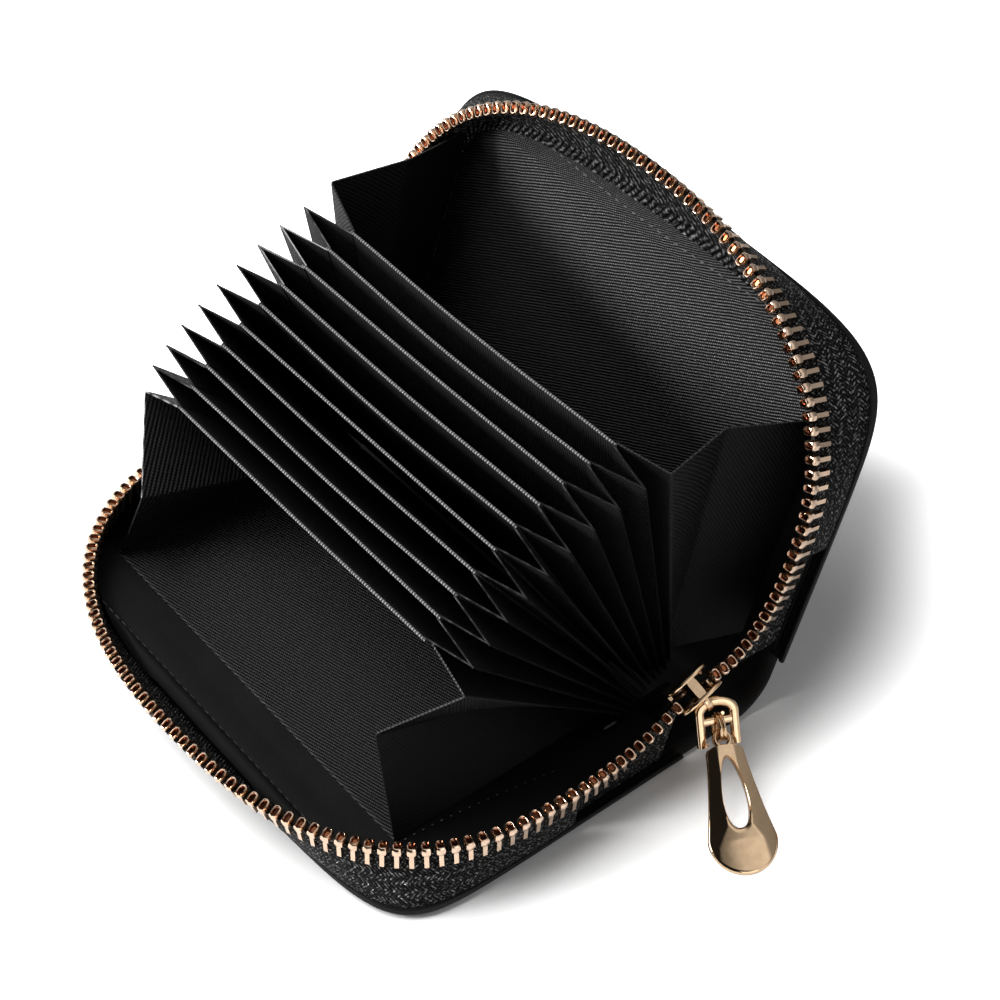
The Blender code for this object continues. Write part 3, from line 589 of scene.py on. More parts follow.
# %% The materials
ribbed_dark, tape_dark = 0.0016, 0.002
board_deep, board_pale = (0.08, 0.075, 0.065, 1), (0.22, 0.2, 0.17, 1)
# rose_deep is also the painted shade inside the teeth's hollows.
rose_bright, rose_deep = (0.95, 0.72, 0.54, 1), (0.32, 0.115, 0.05, 1)
pale_bright, pale_deep = (0.93, 0.67, 0.43, 1), (0.24, 0.13, 0.05, 1)
right_turn, left_turn = math.radians(66), math.radians(106)
panel_cloth = ribbed_cloth("panel_cloth", right_turn, 0.53, light=0.28, gloss=0.18)
left_panel_cloth = ribbed_cloth("left_panel_cloth", left_turn, 0.57, light=0.14, depth=0.00018,
                                gloss=0.08)
# The dividers' light edge colour is the painted highlight along their folds.
divider_cloth = ribbed_cloth("divider_cloth", 0.0, 0.6, edge=0.35, depth=0.00016, gloss=0.3)
gusset_cloth = ribbed_cloth("gusset_cloth", math.pi / 2, light=0.03, edge=0.9, dots="Thread",
                            gloss=0.2)
wide_cloth = ribbed_cloth("wide_gusset_cloth", 1.92, 0.93, light=0.15)
near_cloth = ribbed_cloth("near_gusset_cloth", 0.66, light=0.003, edge=0.06, depth=0.00005,
                          gloss=0.3)
tape_outside = tape_cloth("zip_tape_cloth", 1.2, 0.72, 0.7, light=0.4)
band_cloth = tape_cloth("zip_band_cloth", 5.5, 1.55, 2.4, light=0.5)
end_cloth = tape_cloth("zip_end_cloth", 1.5, 0.95, 0.9, light=0.02)
leather_skin = smooth_leather("cover_leather")
facing_skin = smooth_leather("facing_leather", 0.006)
lining_skin = smooth_leather("lining_cloth", 0.002)
grey_thread = fibrous("grey_thread", 0.5, 0.3, 2500.0, 2.0, grey(0.09), grey(0.48), 0.6)
faint_thread = fibrous("faint_thread", 0.5, 0.3, 2500.0, 2.0, grey(0.027), grey(0.144), 0.6)
rose_gold = gold("rose_gold", rose_bright, rose_deep, 0.16)
pale_gold = gold("pale_gold", pale_bright, pale_deep, 0.1)
board_fibre = fibrous("fibre_board", 0.9, 0.2, 1200.0, 5.0, board_deep, board_pale, 0.4)
print("materials", len(bpy.data.materials))

# %% [markdown]
# ## The covers' own axes
# A cover is drawn in its own axes: y along the spine, v from the fold to the mouth, and w
# from the outside inwards. The rim runs straight for 25 mm and then round a superellipse.
# Between the leather's rim and the row of teeth it leans outwards, so every height has its
# own curve, and a wall point is a share of the way from the foot curve to the head curve.

# %% Covers and rim
class Cover:
    """One cover's axes: point(y, v, w) is its origin + v times out + w times inward."""

    def __init__(self, name, origin, out, inward, foot, head):
        self.name, self.body = name, name + "_cover"
        self.origin, self.out, self.inward = (np.array(a, float) for a in (origin, out, inward))
        self.foot, self.head = rim_curve(*foot), rim_curve(*head)
        self.along = travelled(self.head[None], 1)
        self.length, self.middle = self.along[-1], self.along[rim_steps]

    def point(self, y, v, w):
        """Points in the wallet's axes: y stays as it is, v and w go along the cover's own."""
        y, v, w = spread(y, v, w)
        made = self.origin + v[..., None] * self.out + w[..., None] * self.inward
        made[..., 1] = y
        return made

    def flat(self, distance, height, inset):
        """(v, y) at distances along the teeth, from the near fold round to the far one."""
        path = self.foot + (self.head - self.foot) * height / head_height
        way = heading(path)
        moved = path + np.stack([-way[:, 1], way[:, 0]], -1) * inset
        return at_distance(distance, self.along, moved)

    def wall(self, distance, height, inset):
        """Points of the rim at distances along it, at a height and moved in by inset."""
        flat = self.flat(distance, height, inset)
        return self.point(flat[:, 1], flat[:, 0], height)


rim_steps, rim_straight, head_height = 500, 25, 10.0


def rim_side(reach, half, power):
    """(v, y) from fold to mouth: straight, then a quarter superellipse, evenly spaced."""
    t = np.linspace(0, 1, 2001)
    turn = 0.5 * np.pi * t**4 / (t**4 + (1 - t) ** 4)
    v = rim_straight + (reach - rim_straight) * np.clip(np.sin(turn), 0, 1) ** (2 / power)
    y = half * np.clip(np.cos(turn), 0, 1) ** (2 / power)
    path = np.concatenate([[(0, half)], np.stack([v, y], -1)])
    along = travelled(path[None], 1)
    return at_distance(np.linspace(0, along[-1], rim_steps + 1), along, path)


def rim_curve(reach, near, far):
    """The near side, where y is below zero, then the far side back to the fold."""
    near_side = rim_side(reach, *near) * (1, -1)
    return np.concatenate([near_side, rim_side(reach, *far)[-2::-1]])


# Each curve: its reach, then half width and power on the near side, and on the far side.
left_foot, left_head = (61.0, (55.6, 7.0), (54.0, 4.2)), (69.6, (58.1, 2.5), (54.1, 2.3))
right_foot, right_head = (60.2, (56.4, 5.7), (55.0, 5.5)), (69.2, (58.7, 2.15), (55.9, 2.2))
right_out, right_inward = (0.3322, 0, 0.9432), (-0.9432, 0, 0.3322)
left = Cover("left", (30.5, 0, 0), (-1, 0, 0), (0, 0, 1), left_foot, left_head)
right = Cover("right", (52.889, 0, 10.400), right_out, right_inward, right_foot, right_head)
left_fold = (27.5, 0, 1.3), (33.5, 0, 1.3)
right_fold = right.point(0, -3, 1.3), right.point(0, 3, 1.3)
print("rim lengths", round(left.length, 1), round(right.length, 1))


def bend(item, cover):
    """Calls blend with the fold at the foot of a cover."""
    if cover is left:
        blend(item, "left_cover", "spine", *left_fold)
    else:
        blend(item, "spine", "right_cover", *right_fold)


# %% [markdown]
# ## Leather
# Each cover is one skin of leather, one millimetre thick, turned up into a low rim with a
# rolled lip. Its section is a loop: inner wall, lip, outer wall, rounded lower edge, then
# straight across underneath and the same up the far side. At the middle of the mouth both
# sides meet, so the skin closes by itself.

# %% Leather trays
# Heights and insets round the section, from underneath outwards, up and over to the inside.
tray_section = [
    (0.0, 1.9), (0.06, 1.2), (0.2, 0.6), (0.42, 0.2), (0.7, 0.03), (0.95, 0.0), (1.1, 0.07),
    (1.2, 0.0), (1.4, 0.05), (1.55, 0.3), (1.55, 0.7), (1.45, 0.95), (1.3, 1.02), (1.1, 1.02),
]


def leather_tray(cover):
    """The tray's loop at each distance: near section reversed, across, far section, back."""
    start = np.array([0, 0.6, 1.2, 1.8, 2.4, 3.0, 4.0, 5.5, 8, 12, 18])
    distance = np.concatenate([start, np.linspace(24, cover.middle, 70)])
    back = cover.length - distance * (cover.length / cover.middle - 1)
    near, far = (np.stack([cover.wall(d, h, i) for h, i in tray_section], axis=1)
                 for d in (distance, back))
    share = np.linspace(0, 1, 26)[1:-1][None, :, None]
    under = near[:, :1] + (far[:, :1] - near[:, :1]) * share
    inside = far[:, -1:] + (near[:, -1:] - far[:, -1:]) * share
    loop = np.concatenate([near[:, ::-1], under, far, inside, near[:, -1:]], axis=1)
    item = build(cover.name + "_leather_skin", [patch(loop)], leather_skin, 60, [loop[0, :-1]])
    bend(item, cover)
    return belongs(item, cover.name + "_leather")


for cover in (left, right):
    print(leather_tray(cover).name)


# %% Spine leather
fold_radius, fold_turn = 9.5, math.radians(70.6)


def spine_grid(depth, half):
    """12 mm flat, an arc round the bend, 4.3 mm up; depth goes inwards, y along the spine."""
    flat, arc, up = 12.0, fold_radius * fold_turn, 4.3
    at = np.linspace(0, flat + arc + up, 44)
    a, more = np.clip((at - flat) / fold_radius, 0, fold_turn), np.maximum(at - flat - arc, 0)
    radius = fold_radius - depth
    x = 30.5 + np.minimum(at, flat) + radius * np.sin(a) + more * math.cos(fold_turn)
    z = fold_radius - radius * np.cos(a) + more * math.sin(fold_turn)
    return xyz(x[:, None], np.linspace(-half, half, 45), z[:, None])


def spine_leather():
    """Two halves that meet at the middle of the bend."""
    skins = spine_grid(0.0, 54.6), spine_grid(0.5, 55.0), spine_grid(1.0, 54.6)
    for rows, cover in ((np.s_[:23], left), (np.s_[22:], right)):
        front, edge, back = (skin[rows] for skin in skins)
        patches = [patch(front), patch(back)]
        for end in (0, -1):
            patches.append(patch(np.stack([front[:, end], edge[:, end], back[:, end]])))
            patches.append(patch(np.stack([front[end], back[end]])))
        item = build("spine_leather_" + cover.name, patches, leather_skin, 60)
        bend(item, cover)
        belongs(item, "spine_leather")
        print(item.name)


spine_leather()

# %% [markdown]
# ## Lining and panels
# Inside lies the ribbed cloth. On the right it runs up to a stitched line just short of the
# zip. On the left it stops at a straight edge, bound with light thread, and a smooth
# leather facing goes on to the zip, with a soft ridge where it is turned under.

# %% Cover linings
def floor_grid(cover, low, high, height, inset, rows=46, cols=60, limit=99.0):
    """A cover's inside between two v lines: at each v, straight across between the walls,
    but no further than limit from the middle."""
    near, far = (cover.flat(np.linspace(end, cover.middle, 400), height, inset)
                 for end in (0, cover.length))
    v = np.linspace(low, min(high, near[-1, 0], far[-1, 0]), rows)
    first = np.maximum(np.interp(v, near[:, 0], near[:, 1]), -limit)[:, None]
    last = np.minimum(np.interp(v, far[:, 0], far[:, 1]), limit)[:, None]
    return cover.point(first + (last - first) * np.linspace(0, 1, cols), v[:, None], height)


def lining(cover):
    """A sheet from wall to wall over the whole inside."""
    front = floor_grid(cover, 1.8, 100, 2.38, 2.2)
    item = build(cover.name + "_inner_lining", sheet(front, -0.4), lining_skin, 50)
    return belongs(item, cover.name + "_lining", cover.body)


def right_panel():
    """Ribbed cloth over the right cover, with painted shade in the corner that the accordion covers."""
    grid = floor_grid(right, 2.1, 100, 2.66, 3.0, 60, 90, 47.4)
    y, v = grid[..., 1], (grid - right.origin) @ right.out
    # Painted shade: the mask darkens the cloth and takes its crests' shine away near the fold and the
    # far end, where the accordion shades it.
    shade = 0.85 * ease((v - 0.25 * y - 31) / 12) * ease((17.0 + 0.45 * v - y) / 3 + 0.5) - 0.85
    item = build("right_panel_cloth", sheet(grid, 0.34, shade), panel_cloth, 50)
    return belongs(item, "right_accordion_panel", right.body)


def left_panel():
    """Ribbed cloth to a straight edge; the mask is the light thread along that edge."""
    v, y = np.linspace(2.1, 49.4, 80), np.linspace(-40.6, 44.0, 90)
    swell = 0.12 * ease((v - 40) / 9)[:, None]
    grid = left.point(y[None], v[:, None], 2.64 + swell)
    edge = 0.35 * ease((v - 49.0) / 0.3)[:, None]
    item = build("left_panel_cloth", sheet(grid, -0.36, edge), left_panel_cloth, 50)
    return belongs(item, "left_accordion_panel", left.body)


def mouth_facing():
    """Smooth strip from the panel's edge to the wall, with a ridge along its outer side."""
    grid = floor_grid(left, 49.5, 60.9, 2.66, 2.0, 60, 90)
    ridge, groove = (0.9, 0.115), (0.765, 0.03)
    v = np.linspace(0, 1, 60)[:, None]
    roll = dome(((v - ridge[0]) / ridge[1]) ** 2) + 0.25 * ease((v - 0.3) / 0.4)
    roll = roll - 0.2 * np.exp(-(((v - groove[0]) / groove[1]) ** 2))
    across = np.abs(np.linspace(-1, 1, 90))[None]
    grid = grid + (roll * (1 - ease((across - 0.8) / 0.2)))[..., None] * left.inward
    item = build("left_facing_skin", sheet(grid, -0.4), facing_skin, 50)
    return belongs(item, "left_mouth_facing", left.body)


for cover in (left, right):
    lining(cover)
print(right_panel().name, left_panel().name, mouth_facing().name)


# %% Spine lining and boards
def spine_lining():
    """The spine's own shape, 1.3 mm in from the leather's outside and a little shorter."""
    grid = spine_grid(1.3, 52.5)[4:-4]
    item = build("spine_inner_lining", sheet(grid, -0.4), lining_skin, 50)
    return belongs(item, "spine_lining", "spine")


spine_lining()
for name in ("left_board", "right_board"):
    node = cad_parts[name]
    node.data.materials.clear()
    node.data.materials.append(board_fibre)
print("boards keep their solids")

# %% [markdown]
# ## The zip
# The tape starts inside the leather's rim, swells out over its lip and leans outwards to the
# teeth. On the right a band of coarser tape shows inside, below the teeth. Each tooth is
# cast round the tape's edge: two legs clamp it, and a rounded head above has a hollow in
# its top. The same tooth is copied round the rim by arithmetic: its corner points times
# three axes at every station.

# %% Tape
zip_start, zip_end, tooth_pitch, tooth_foot, tooth_inset = 24.0, 4.0, 2.45, 8.5, 1.6
band_section = [(8.2, 2.25), (7.4, 2.5), (6.2, 3.0), (5.0, 3.7), (4.0, 4.5), (3.3, 5.4), (3.0, 6.3)]


def zip_tape(cover):
    """The wall from 1.2 to 10.6 mm high, and on the right the band inside it."""
    distance = np.arange(zip_start, cover.length - zip_end, 1.0)
    heights = np.linspace(1.2, 10.6, 16)
    bulge = 1.05 * np.cos(0.5 * np.pi * np.clip((heights - 2.2) / 6.5, 0, 1))
    bulge = bulge - 0.35 * ease(2.2 - heights)
    outer, inner = (np.stack([cover.wall(distance, h, inset - b) for h, b in zip(heights, bulge)])
                    for inset in (1.3, 1.9))
    pieces = [build(cover.name + "_tape", between(outer, inner), tape_outside, 50)]
    if cover is right:
        band = np.stack([cover.wall(distance, h, i) for h, i in band_section])
        pieces.append(build("right_tape_band", sheet(band, 0.2), band_cloth, 50))
    return [belongs(item, cover.name + "_zip_tape", cover.body) for item in pieces]


for cover in (left, right):
    print([item.name for item in zip_tape(cover)])


# %% One tooth
def box_points(x, y_low, y_high, z_low, z_high):
    """Eight corners of a leg."""
    xs, ys = np.array([-x, x, x, -x]), np.array([y_low, y_low, y_high, y_high])
    return np.concatenate([xyz(xs, ys, z) for z in (z_low, z_high)])


def tooth():
    """Rings of a rounded head, stepping in to a hollow, and a leg on each side of the tape.
    A level is the height, both half widths and the mask of a ring, which paints shade into the hollow."""
    levels = [
        (1.75, 0.42, 0.55, 0), (2.0, 0.78, 1.12, 0), (2.6, 0.92, 1.3, 0), (3.15, 0.88, 1.24, 0),
        (3.45, 0.72, 1.06, 0), (3.5, 0.58, 0.9, 0.1), (3.36, 0.46, 0.74, 0.9), (3.0, 0.32, 0.52, 1),
    ]
    rings = [xyz(*oval(a, b, 3.0, 8)[:-1].T, z) for z, a, b, _ in levels]
    points = np.concatenate(rings)
    mask = np.repeat([m for *_, m in levels], 8).astype(float)
    lid = np.array([(0, 1, 2, 7), (7, 2, 3, 6), (6, 3, 4, 5)])
    faces = np.concatenate([tube_faces(len(levels), 8), lid, lid + len(points) - 8])
    box = np.array([(0, 1, 5, 4), (1, 2, 6, 5), (2, 3, 7, 6), (3, 0, 4, 7), (0, 3, 2, 1), (4, 5, 6, 7)])
    for y_low, y_high in ((-0.95, -0.42), (0.42, 0.95)):
        faces = np.concatenate([faces, box + len(points)])
        points = np.concatenate([points, box_points(0.38, y_low, y_high, -0.5, 2.1)])
        mask = np.concatenate([mask, np.zeros(8)])
    return points, faces, mask


tooth_points, tooth_faces, tooth_hollow_shade = tooth()
print("a tooth has", len(tooth_faces), "faces")


# %% Rows of teeth
def teeth(name, centres, *axes, size=1.0):
    """A tooth at every centre: x along the row, y across the tape, z out of it."""
    print(name, len(centres), "teeth")
    axes = [axis * size for axis in axes]
    return copied(name, tooth_points, tooth_faces, tooth_hollow_shade, centres, axes, rose_gold, 38)


def rim_axes(cover, distance):
    """Centre, run, across and rise of the teeth at distances along a rim."""
    centres = cover.wall(distance, tooth_foot, tooth_inset)
    above = cover.wall(distance, 12.0, tooth_inset)
    ahead = cover.wall(distance + 0.2, tooth_foot, tooth_inset)
    way = unit(ahead - centres)
    upward = above - centres
    level = upward - (upward @ cover.inward)[:, None] * cover.inward
    rise = upward - 0.5 * level
    across = unit(np.cross(way, rise))
    return centres, way, across, unit(np.cross(across, way))


def rim_teeth(cover):
    """A row of teeth; gives back where it ends, for the stop."""
    last = cover.length - zip_end - tooth_pitch
    distance = np.arange(zip_start + tooth_pitch / 2, last, tooth_pitch)
    item = teeth(cover.name + "_teeth", *rim_axes(cover, distance))
    belongs(item, cover.name + "_zip_teeth", cover.body)
    return last


def top_stop(cover, at):
    """The metal clip that ends a row: a rounded block crimped over the tape."""
    centre, way, across, rise = (a[0] for a in rim_axes(cover, np.array([at + 1.3])))
    z = np.linspace(-0.3, 2.6, 9)
    path = centre + z[:, None] * rise
    swell = 1.0 - 0.35 * np.abs(np.linspace(-1, 1, 9)) ** 4
    profile = oval(0.95, 1.05, 3.5, 16) * swell[:, None, None]
    item = build(cover.name + "_stop", sweep(path, way, across, profile), rose_gold, 50)
    belongs(item, cover.name + "_top_stop", cover.body)


for cover in (left, right):
    top_stop(cover, rim_teeth(cover))

# %% [markdown]
# ## The free ends of the zip
# Near the slider the last teeth leave the covers, bend and turn towards each other into the
# slider's mouth. Their path is a cubic curve with four control points, and their rise turns
# smoothly from the cover's inside to the slider's own mouth.

# %% Slider axes
slider_across = np.array((0.9483, 0, 0.3173))
slider_out = np.array((-0.2599, -0.5736, 0.7768))
slider_face = np.array((0.1820, -0.8192, -0.5439))
mouth_centre = np.array((31.6, -56.5, 18.5))
slider_half, mouth_depth = 4.5, 1.2
free_start, free_pitch, free_size, stub_size = 23.7, 2.15, 0.93, 0.62
slider_centre = mouth_centre - slider_out * slider_half


def curve_through(p, count):
    """A cubic curve with four control points."""
    t = np.linspace(0, 1, count)[:, None]
    return (1 - t) ** 3 * p[0] + 3 * t * (1 - t) ** 2 * p[1] + 3 * t**2 * (1 - t) * p[2] + t**3 * p[3]


def free_path(cover, side, run, reach, lead):
    """The free teeth's feet: from the rim, off the cover, into the slider's mouth."""
    v, y = cover.flat(np.array([free_start]), tooth_foot, tooth_inset)[0]
    start = cover.point(-abs(y), v, tooth_foot)
    before = start - run * cover.out
    entry = mouth_centre + slider_across * side * reach - slider_out * mouth_depth
    return curve_through((start, before, entry + slider_across * side * lead, entry), 400)


def free_axes(cover, path):
    """Run, across and rise along a free end."""
    share = ease(np.linspace(0, 1, len(path)))[:, None]
    way = heading(path)
    rise = (1 - share) * rim_axes(cover, np.array([zip_start]))[3] + share * slider_out
    rise = unit(rise - way * np.sum(rise * way, axis=1)[:, None])
    return way, unit(np.cross(way, rise)), rise


def free_bend(item, cover):
    """Calls blend with points at the rim and at the slider."""
    far = cover.point(-56, 22, 6)
    if cover is left:
        blend(item, "left_cover", "spine", far, (31, -56, 6))
    else:
        blend(item, "spine", "right_cover", mouth_centre, far)


def free_teeth(cover, side, run, reach, lead):
    """Teeth at equal distances along the free path, which is given back for the tape."""
    path = free_path(cover, side, run, reach, lead)
    along = travelled(path[None], 1)
    count = round(along[-1] / free_pitch)
    at = (np.arange(count) + 0.5) * along[-1] / count
    pick = [at_distance(at, along, a) for a in (path, *free_axes(cover, path))]
    item = teeth(cover.name + "_free_teeth", *pick, size=free_size)
    free_bend(item, cover)
    belongs(item, cover.name + "_zip_teeth_end")
    return path


def free_tape(cover, path):
    """The tape below the free teeth, down to the leather's rim, hollowed a little."""
    way, across, rise = free_axes(cover, path)
    pick = np.linspace(0, len(path) - 1, 60).astype(int)
    top = path[pick] + 1.7 * rise[pick]
    foot = cover.point(-53.9, np.linspace(free_start, 3.6, 60), 1.7)
    share = np.linspace(0, 1, 14)[:, None, None]
    lift = np.sin(np.pi * share) * np.sin(np.pi * np.linspace(0, 1, 60))[None, :, None]
    grid = foot + (top - foot) * share + lift * (0, 0.9, 0)
    item = build(cover.name + "_free_tape", sheet(grid, 0.5), tape_outside, 50)
    free_bend(item, cover)
    belongs(item, cover.name + "_zip_tape_end")


# Which side of the mouth, the run along the cover, the reach at the mouth and the lead to it
for cover, *shape in ((left, -1, 12.4, 3.8, 6.0), (right, 1, 19.0, 2.1, 1.0)):
    free_tape(cover, free_teeth(cover, *shape))


# %% Closed stub and anchor
def zip_stub():
    """The closed zip below the slider: four small teeth."""
    z = -(slider_half + 0.3 + np.array([0.6, 1.6, 2.6, 3.4]))
    centres = slider_centre + z[:, None] * slider_out
    axes = [np.broadcast_to(a, centres.shape) for a in (slider_out, slider_face, slider_across)]
    item = teeth("zip_closed_stub", centres - slider_across * 1.3, *axes, size=stub_size)
    belongs(item, "zip_stub", "spine")


def zip_anchor():
    """The folded tape end: down from the stub in a soft S and flat on the spine's lining."""
    bends = np.array([(-48.3, 7.2), (-47.6, 5.0), (-46.9, 3.4), (-46.6, 2.7), (-46.0, 2.25),
                      (-44.6, 2.05), (-41.9, 2.0)])
    y, z = at_distance(np.linspace(0, 6, 30), np.arange(7), bends).T[..., None]
    grid = xyz(32.77 + 3 + np.linspace(-3.5, 3.5, 16), y, z)
    item = build("zip_end_tape", sheet(grid, 0.6), end_cloth, 50)
    belongs(item, "zip_end_anchor", "spine")


zip_stub()
zip_anchor()

# %% [markdown]
# ## The accordion
# Ten dividers stand in a fan. Each is a double layer of ribbed cloth folded over at the
# top, where the ribs would catch the light as they turn over the fold: that row of light
# dots along every top edge is a painted highlight, set by the mask. At both ends folded
# gussets join neighbours, so that the whole accordion closes flat.

# %% The fan
divider_count, divider_half, sheet_half, roll_radius = 10, 35.2, 0.22, 0.28
# The gussets' folds: half widths in y, how high their tops are, and turns in degrees
gusset_root, gusset_tip, gusset_reach, gusset_top = 34.6, 45.7, 45.9, 49.75
wide_root, left_spike, left_pinch, right_pinch = 35.0, 139.5, 160.0, 76.5


def fan():
    """Feet and directions: each foot lies a millimetre from the last, square to it."""
    rows, foot = [], np.array((28.5, 3.9))
    for i in range(divider_count):
        angle = math.radians(180 - (43.8 + 3.75 * i + 0.17 * i * (i - 1) / 2))
        over = np.array((math.sin(angle), -math.cos(angle)))
        rows.append((foot, np.array((math.cos(angle), math.sin(angle))), over))
        foot = foot + over
    return rows


folds = fan()


def fan_point(index, along, over, y):
    """A point from a divider's own axes."""
    foot, up, across = folds[index]
    along, over, y = spread(along, over, y)
    flat = foot + along[..., None] * up + over[..., None] * across
    return xyz(flat[..., 0], y, flat[..., 1])


def divider(index):
    """A folded sheet: up one face, round the fold in a half circle, and down the other."""
    up_face = np.concatenate([np.linspace(0, 44, 12), np.linspace(45, 49.5, 14)])
    turn = np.linspace(0, np.pi, 9)[1:-1]
    along = np.concatenate([up_face, 49.6 + roll_radius * np.sin(turn), up_face[::-1]])
    thick = sheet_half + 0.06 * ease((up_face - 48.8) / 0.5)
    over = np.concatenate([-thick, -roll_radius * np.cos(turn), thick[::-1]])
    y = np.linspace(-divider_half, divider_half, 64)
    bow = ease(along / 50)[:, None] * np.cos(y / divider_half * np.pi * 0.5)[None] ** 1.5
    sway = 0.35 * math.sin(index * 2.1) * bow
    grid = fan_point(index, along[:, None] - 0.5 * bow, over[:, None] + sway - 0.35 * bow, y[None])
    # Painted highlight: light colour along the top fold, and faintly just below it.
    fold_highlight = ease((along - 49.6) / 0.2) + 0.08 * ease((along - 47.2) / 2.2)
    mask = np.clip(fold_highlight, 0, 1)[:, None]
    foot = np.stack([grid[0], grid[-1]])
    number = "%02d" % (index + 1)
    patches, loops = [patch(grid, mask), patch(foot)], [grid[:, 0], grid[:, -1]]
    item = build("divider_sheet_" + number, patches, divider_cloth, 60, loops)
    belongs(item, "divider_" + number, "divider_body_" + number)


for index in range(divider_count):
    divider(index)
print("dividers", divider_count)


# %% Narrow gussets
def leaf_profile(points, rounds, count=9):
    """Fold points joined by straight leaves, each inner fold rounded by a small curve."""
    rows = [points[:, :1]]
    for k in range(1, points.shape[1] - 1):
        before, corner, after = points[:, k - 1], points[:, k], points[:, k + 1]
        p = corner + unit(before - corner) * rounds
        q = corner + unit(after - corner) * rounds
        t = np.linspace(0, 1, count)[None, :, None]
        rows.append((1 - t) ** 2 * p[:, None] + 2 * t * (1 - t) * corner[:, None] + t**2 * q[:, None])
    rows.append(points[:, -1:])
    return np.concatenate(rows, axis=1)


def refine(profile, parts=4):
    """More columns between the given ones, for an even mesh."""
    count = profile.shape[1]
    at = np.linspace(0, count - 1, (count - 1) * parts + 1)
    low = np.minimum(at.astype(int), count - 2)
    share = (at - low)[None, :, None]
    return profile[:, low] * (1 - share) + profile[:, low + 1] * share


def cloth_fold(name, rows, thickness, material, rounds=0.5, plain_from=None):
    """A folded sheet from fold points at its low and high ends. Its mask is 1 along the top
    edge, and -1, all dark, from column plain_from on."""
    low, high = rows
    share = np.concatenate([np.linspace(0, 0.98, 26), [0.99, 0.9965, 0.9985, 1.0]])
    grid = refine(leaf_profile(low + (high - low) * share[:, None, None], rounds))
    height = travelled(grid, 0)
    top = ease((height - height[-1] + 0.14) / 0.08)[:, None] * np.ones(grid.shape[1])
    if plain_from is not None:
        top[:, plain_from:] = -1
    return build(name, sheet(grid, thickness, top), material, 50)


def narrow_gusset(index, side, word):
    """A V between two dividers: its outer fold stands midway, well out from them, and the
    last far ones are lifted a little."""
    rows = []
    lift = 0.45 * max(index - 5, 0) * (side > 0)
    for along, more in ((2.5, 0.0), (gusset_top, lift)):
        a = fan_point(index, along, 0.15, side * gusset_root)
        b = fan_point(index + 1, along, -0.15, side * gusset_root)
        tips = [fan_point(i, along + more, 0, side * gusset_tip) for i in (index, index + 1)]
        rows.append(np.stack([a, (tips[0] + tips[1]) / 2, b]))
    item = cloth_fold("%s_fold_%02d" % (word, index + 1), rows, -0.25 * side, gusset_cloth)
    bodies = ["divider_body_%02d" % number for number in (index + 1, index + 2)]
    blend(item, *bodies, rows[1][0], rows[1][2])
    belongs(item, "%s_gusset_%02d" % (word, index + 1))


for side, word in ((-1, "near"), (1, "far")):
    for index in range(divider_count - 1):
        narrow_gusset(index, side, word)
print("narrow gussets", 2 * (divider_count - 1))


# %% Wide gussets
def polar(foot, angle, along, y):
    """A point at an angle and distance from a divider's foot."""
    turn = math.radians(angle)
    return np.array((foot[0] + along * math.cos(turn), y, foot[1] + along * math.sin(turn)))


def wide_left(side, word):
    """From the first divider out to a spike, in to a pinch, and down to the left panel."""
    foot, rows = folds[0][0], []
    base, pinch = (-40.9, -32.8) if side < 0 else (43.2, 37.0)
    for along in (3.5, 47.4):
        spike = polar(foot, left_spike, along + 0.35, side * gusset_reach)
        rows.append(np.stack([fan_point(0, along, -0.2, side * wide_root), spike,
                              polar(foot, left_pinch, along, pinch), left.point(base, 2 + along, 3.1)]))
    cloth = near_cloth if side < 0 else wide_cloth
    item = cloth_fold(word + "_left_fold", rows, 0.3 * side, cloth, 0.8, 56)
    blend(item, "left_cover", "divider_body_01", rows[1][3], rows[1][0])
    belongs(item, word + "_wide_gusset_left")


def wide_right(side, word):
    """From the last divider out to a spike, in to a pinch, and over to the right cover."""
    foot, rows = folds[-1][0], []
    angle, lift, top = (92.5, 2.9, 48.4) if side > 0 else (94.0, 0.0, 44.0)
    for along, more, v in ((4.0, 0.0, 0.8), (gusset_top, lift, top)):
        spike = polar(foot, angle, along + more, side * gusset_reach)
        pinch = polar(foot, right_pinch, along + 1.6 * more, side * 42.4)
        rows.append(np.stack([fan_point(9, along, 0.2, side * wide_root), spike, pinch,
                              right.point(side * 47.9, v, 2.9)]))
    item = cloth_fold(word + "_right_fold", rows, -0.3 * side, near_cloth, 0.8)
    anchor = metres(*right.point(0, 20, 2.7))
    belongs(item, word + "_wide_gusset_right", "right_cover")
    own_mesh(item)


for side, word in ((-1, "near"), (1, "far")):
    wide_left(side, word)
    wide_right(side, word)
print("wide gussets", 4)

# %% [markdown]
# ## Slider
# The slider is cast metal: two shield-shaped plates, held apart at the mouth by a post that
# parts the teeth, with their edges turned towards each other from the tail to the middle. A
# strap is bent over its face for the link.

# %% Slider body
plate_level, plate_half, arch_radius = 1.98, 0.42, 1.75


def on_slider(points):
    """From the slider's axes: across, out towards the mouth, and out of its face."""
    return placed(points, slider_centre, slider_across, slider_out, slider_face)


def shield(z):
    """A plate by rows along the slider: each row is a flat oval as wide as the shield."""
    t = np.linspace(-1, 1, 40)
    y = slider_half * np.sign(t) * (1 - (1 - np.abs(t)) ** 1.6)
    spread = 3.3 + 1.1 * ease((y + 3.0) / 5.0)
    tip = dome(np.clip((y - 2.4) / 2.15, 0, 1) ** 3, 0.05)
    tail = np.clip(1 - np.clip((-3.8 - y) / 0.75, 0, 1) ** 3, 0.3, 1)
    width = spread * tip * tail
    depth = plate_half * np.clip(1 - np.abs(t) ** 16, 0.15, 1)
    ring = oval(1.0, 1.0, 5.0, 28)
    x = width[:, None] * ring[:, 0]
    height = z + depth[:, None] * ring[:, 1] * (1 - 0.12 * ring[:, 0] ** 2)
    return [patch(on_slider(grid)) for grid in capped(xyz(x, y[:, None], height))]


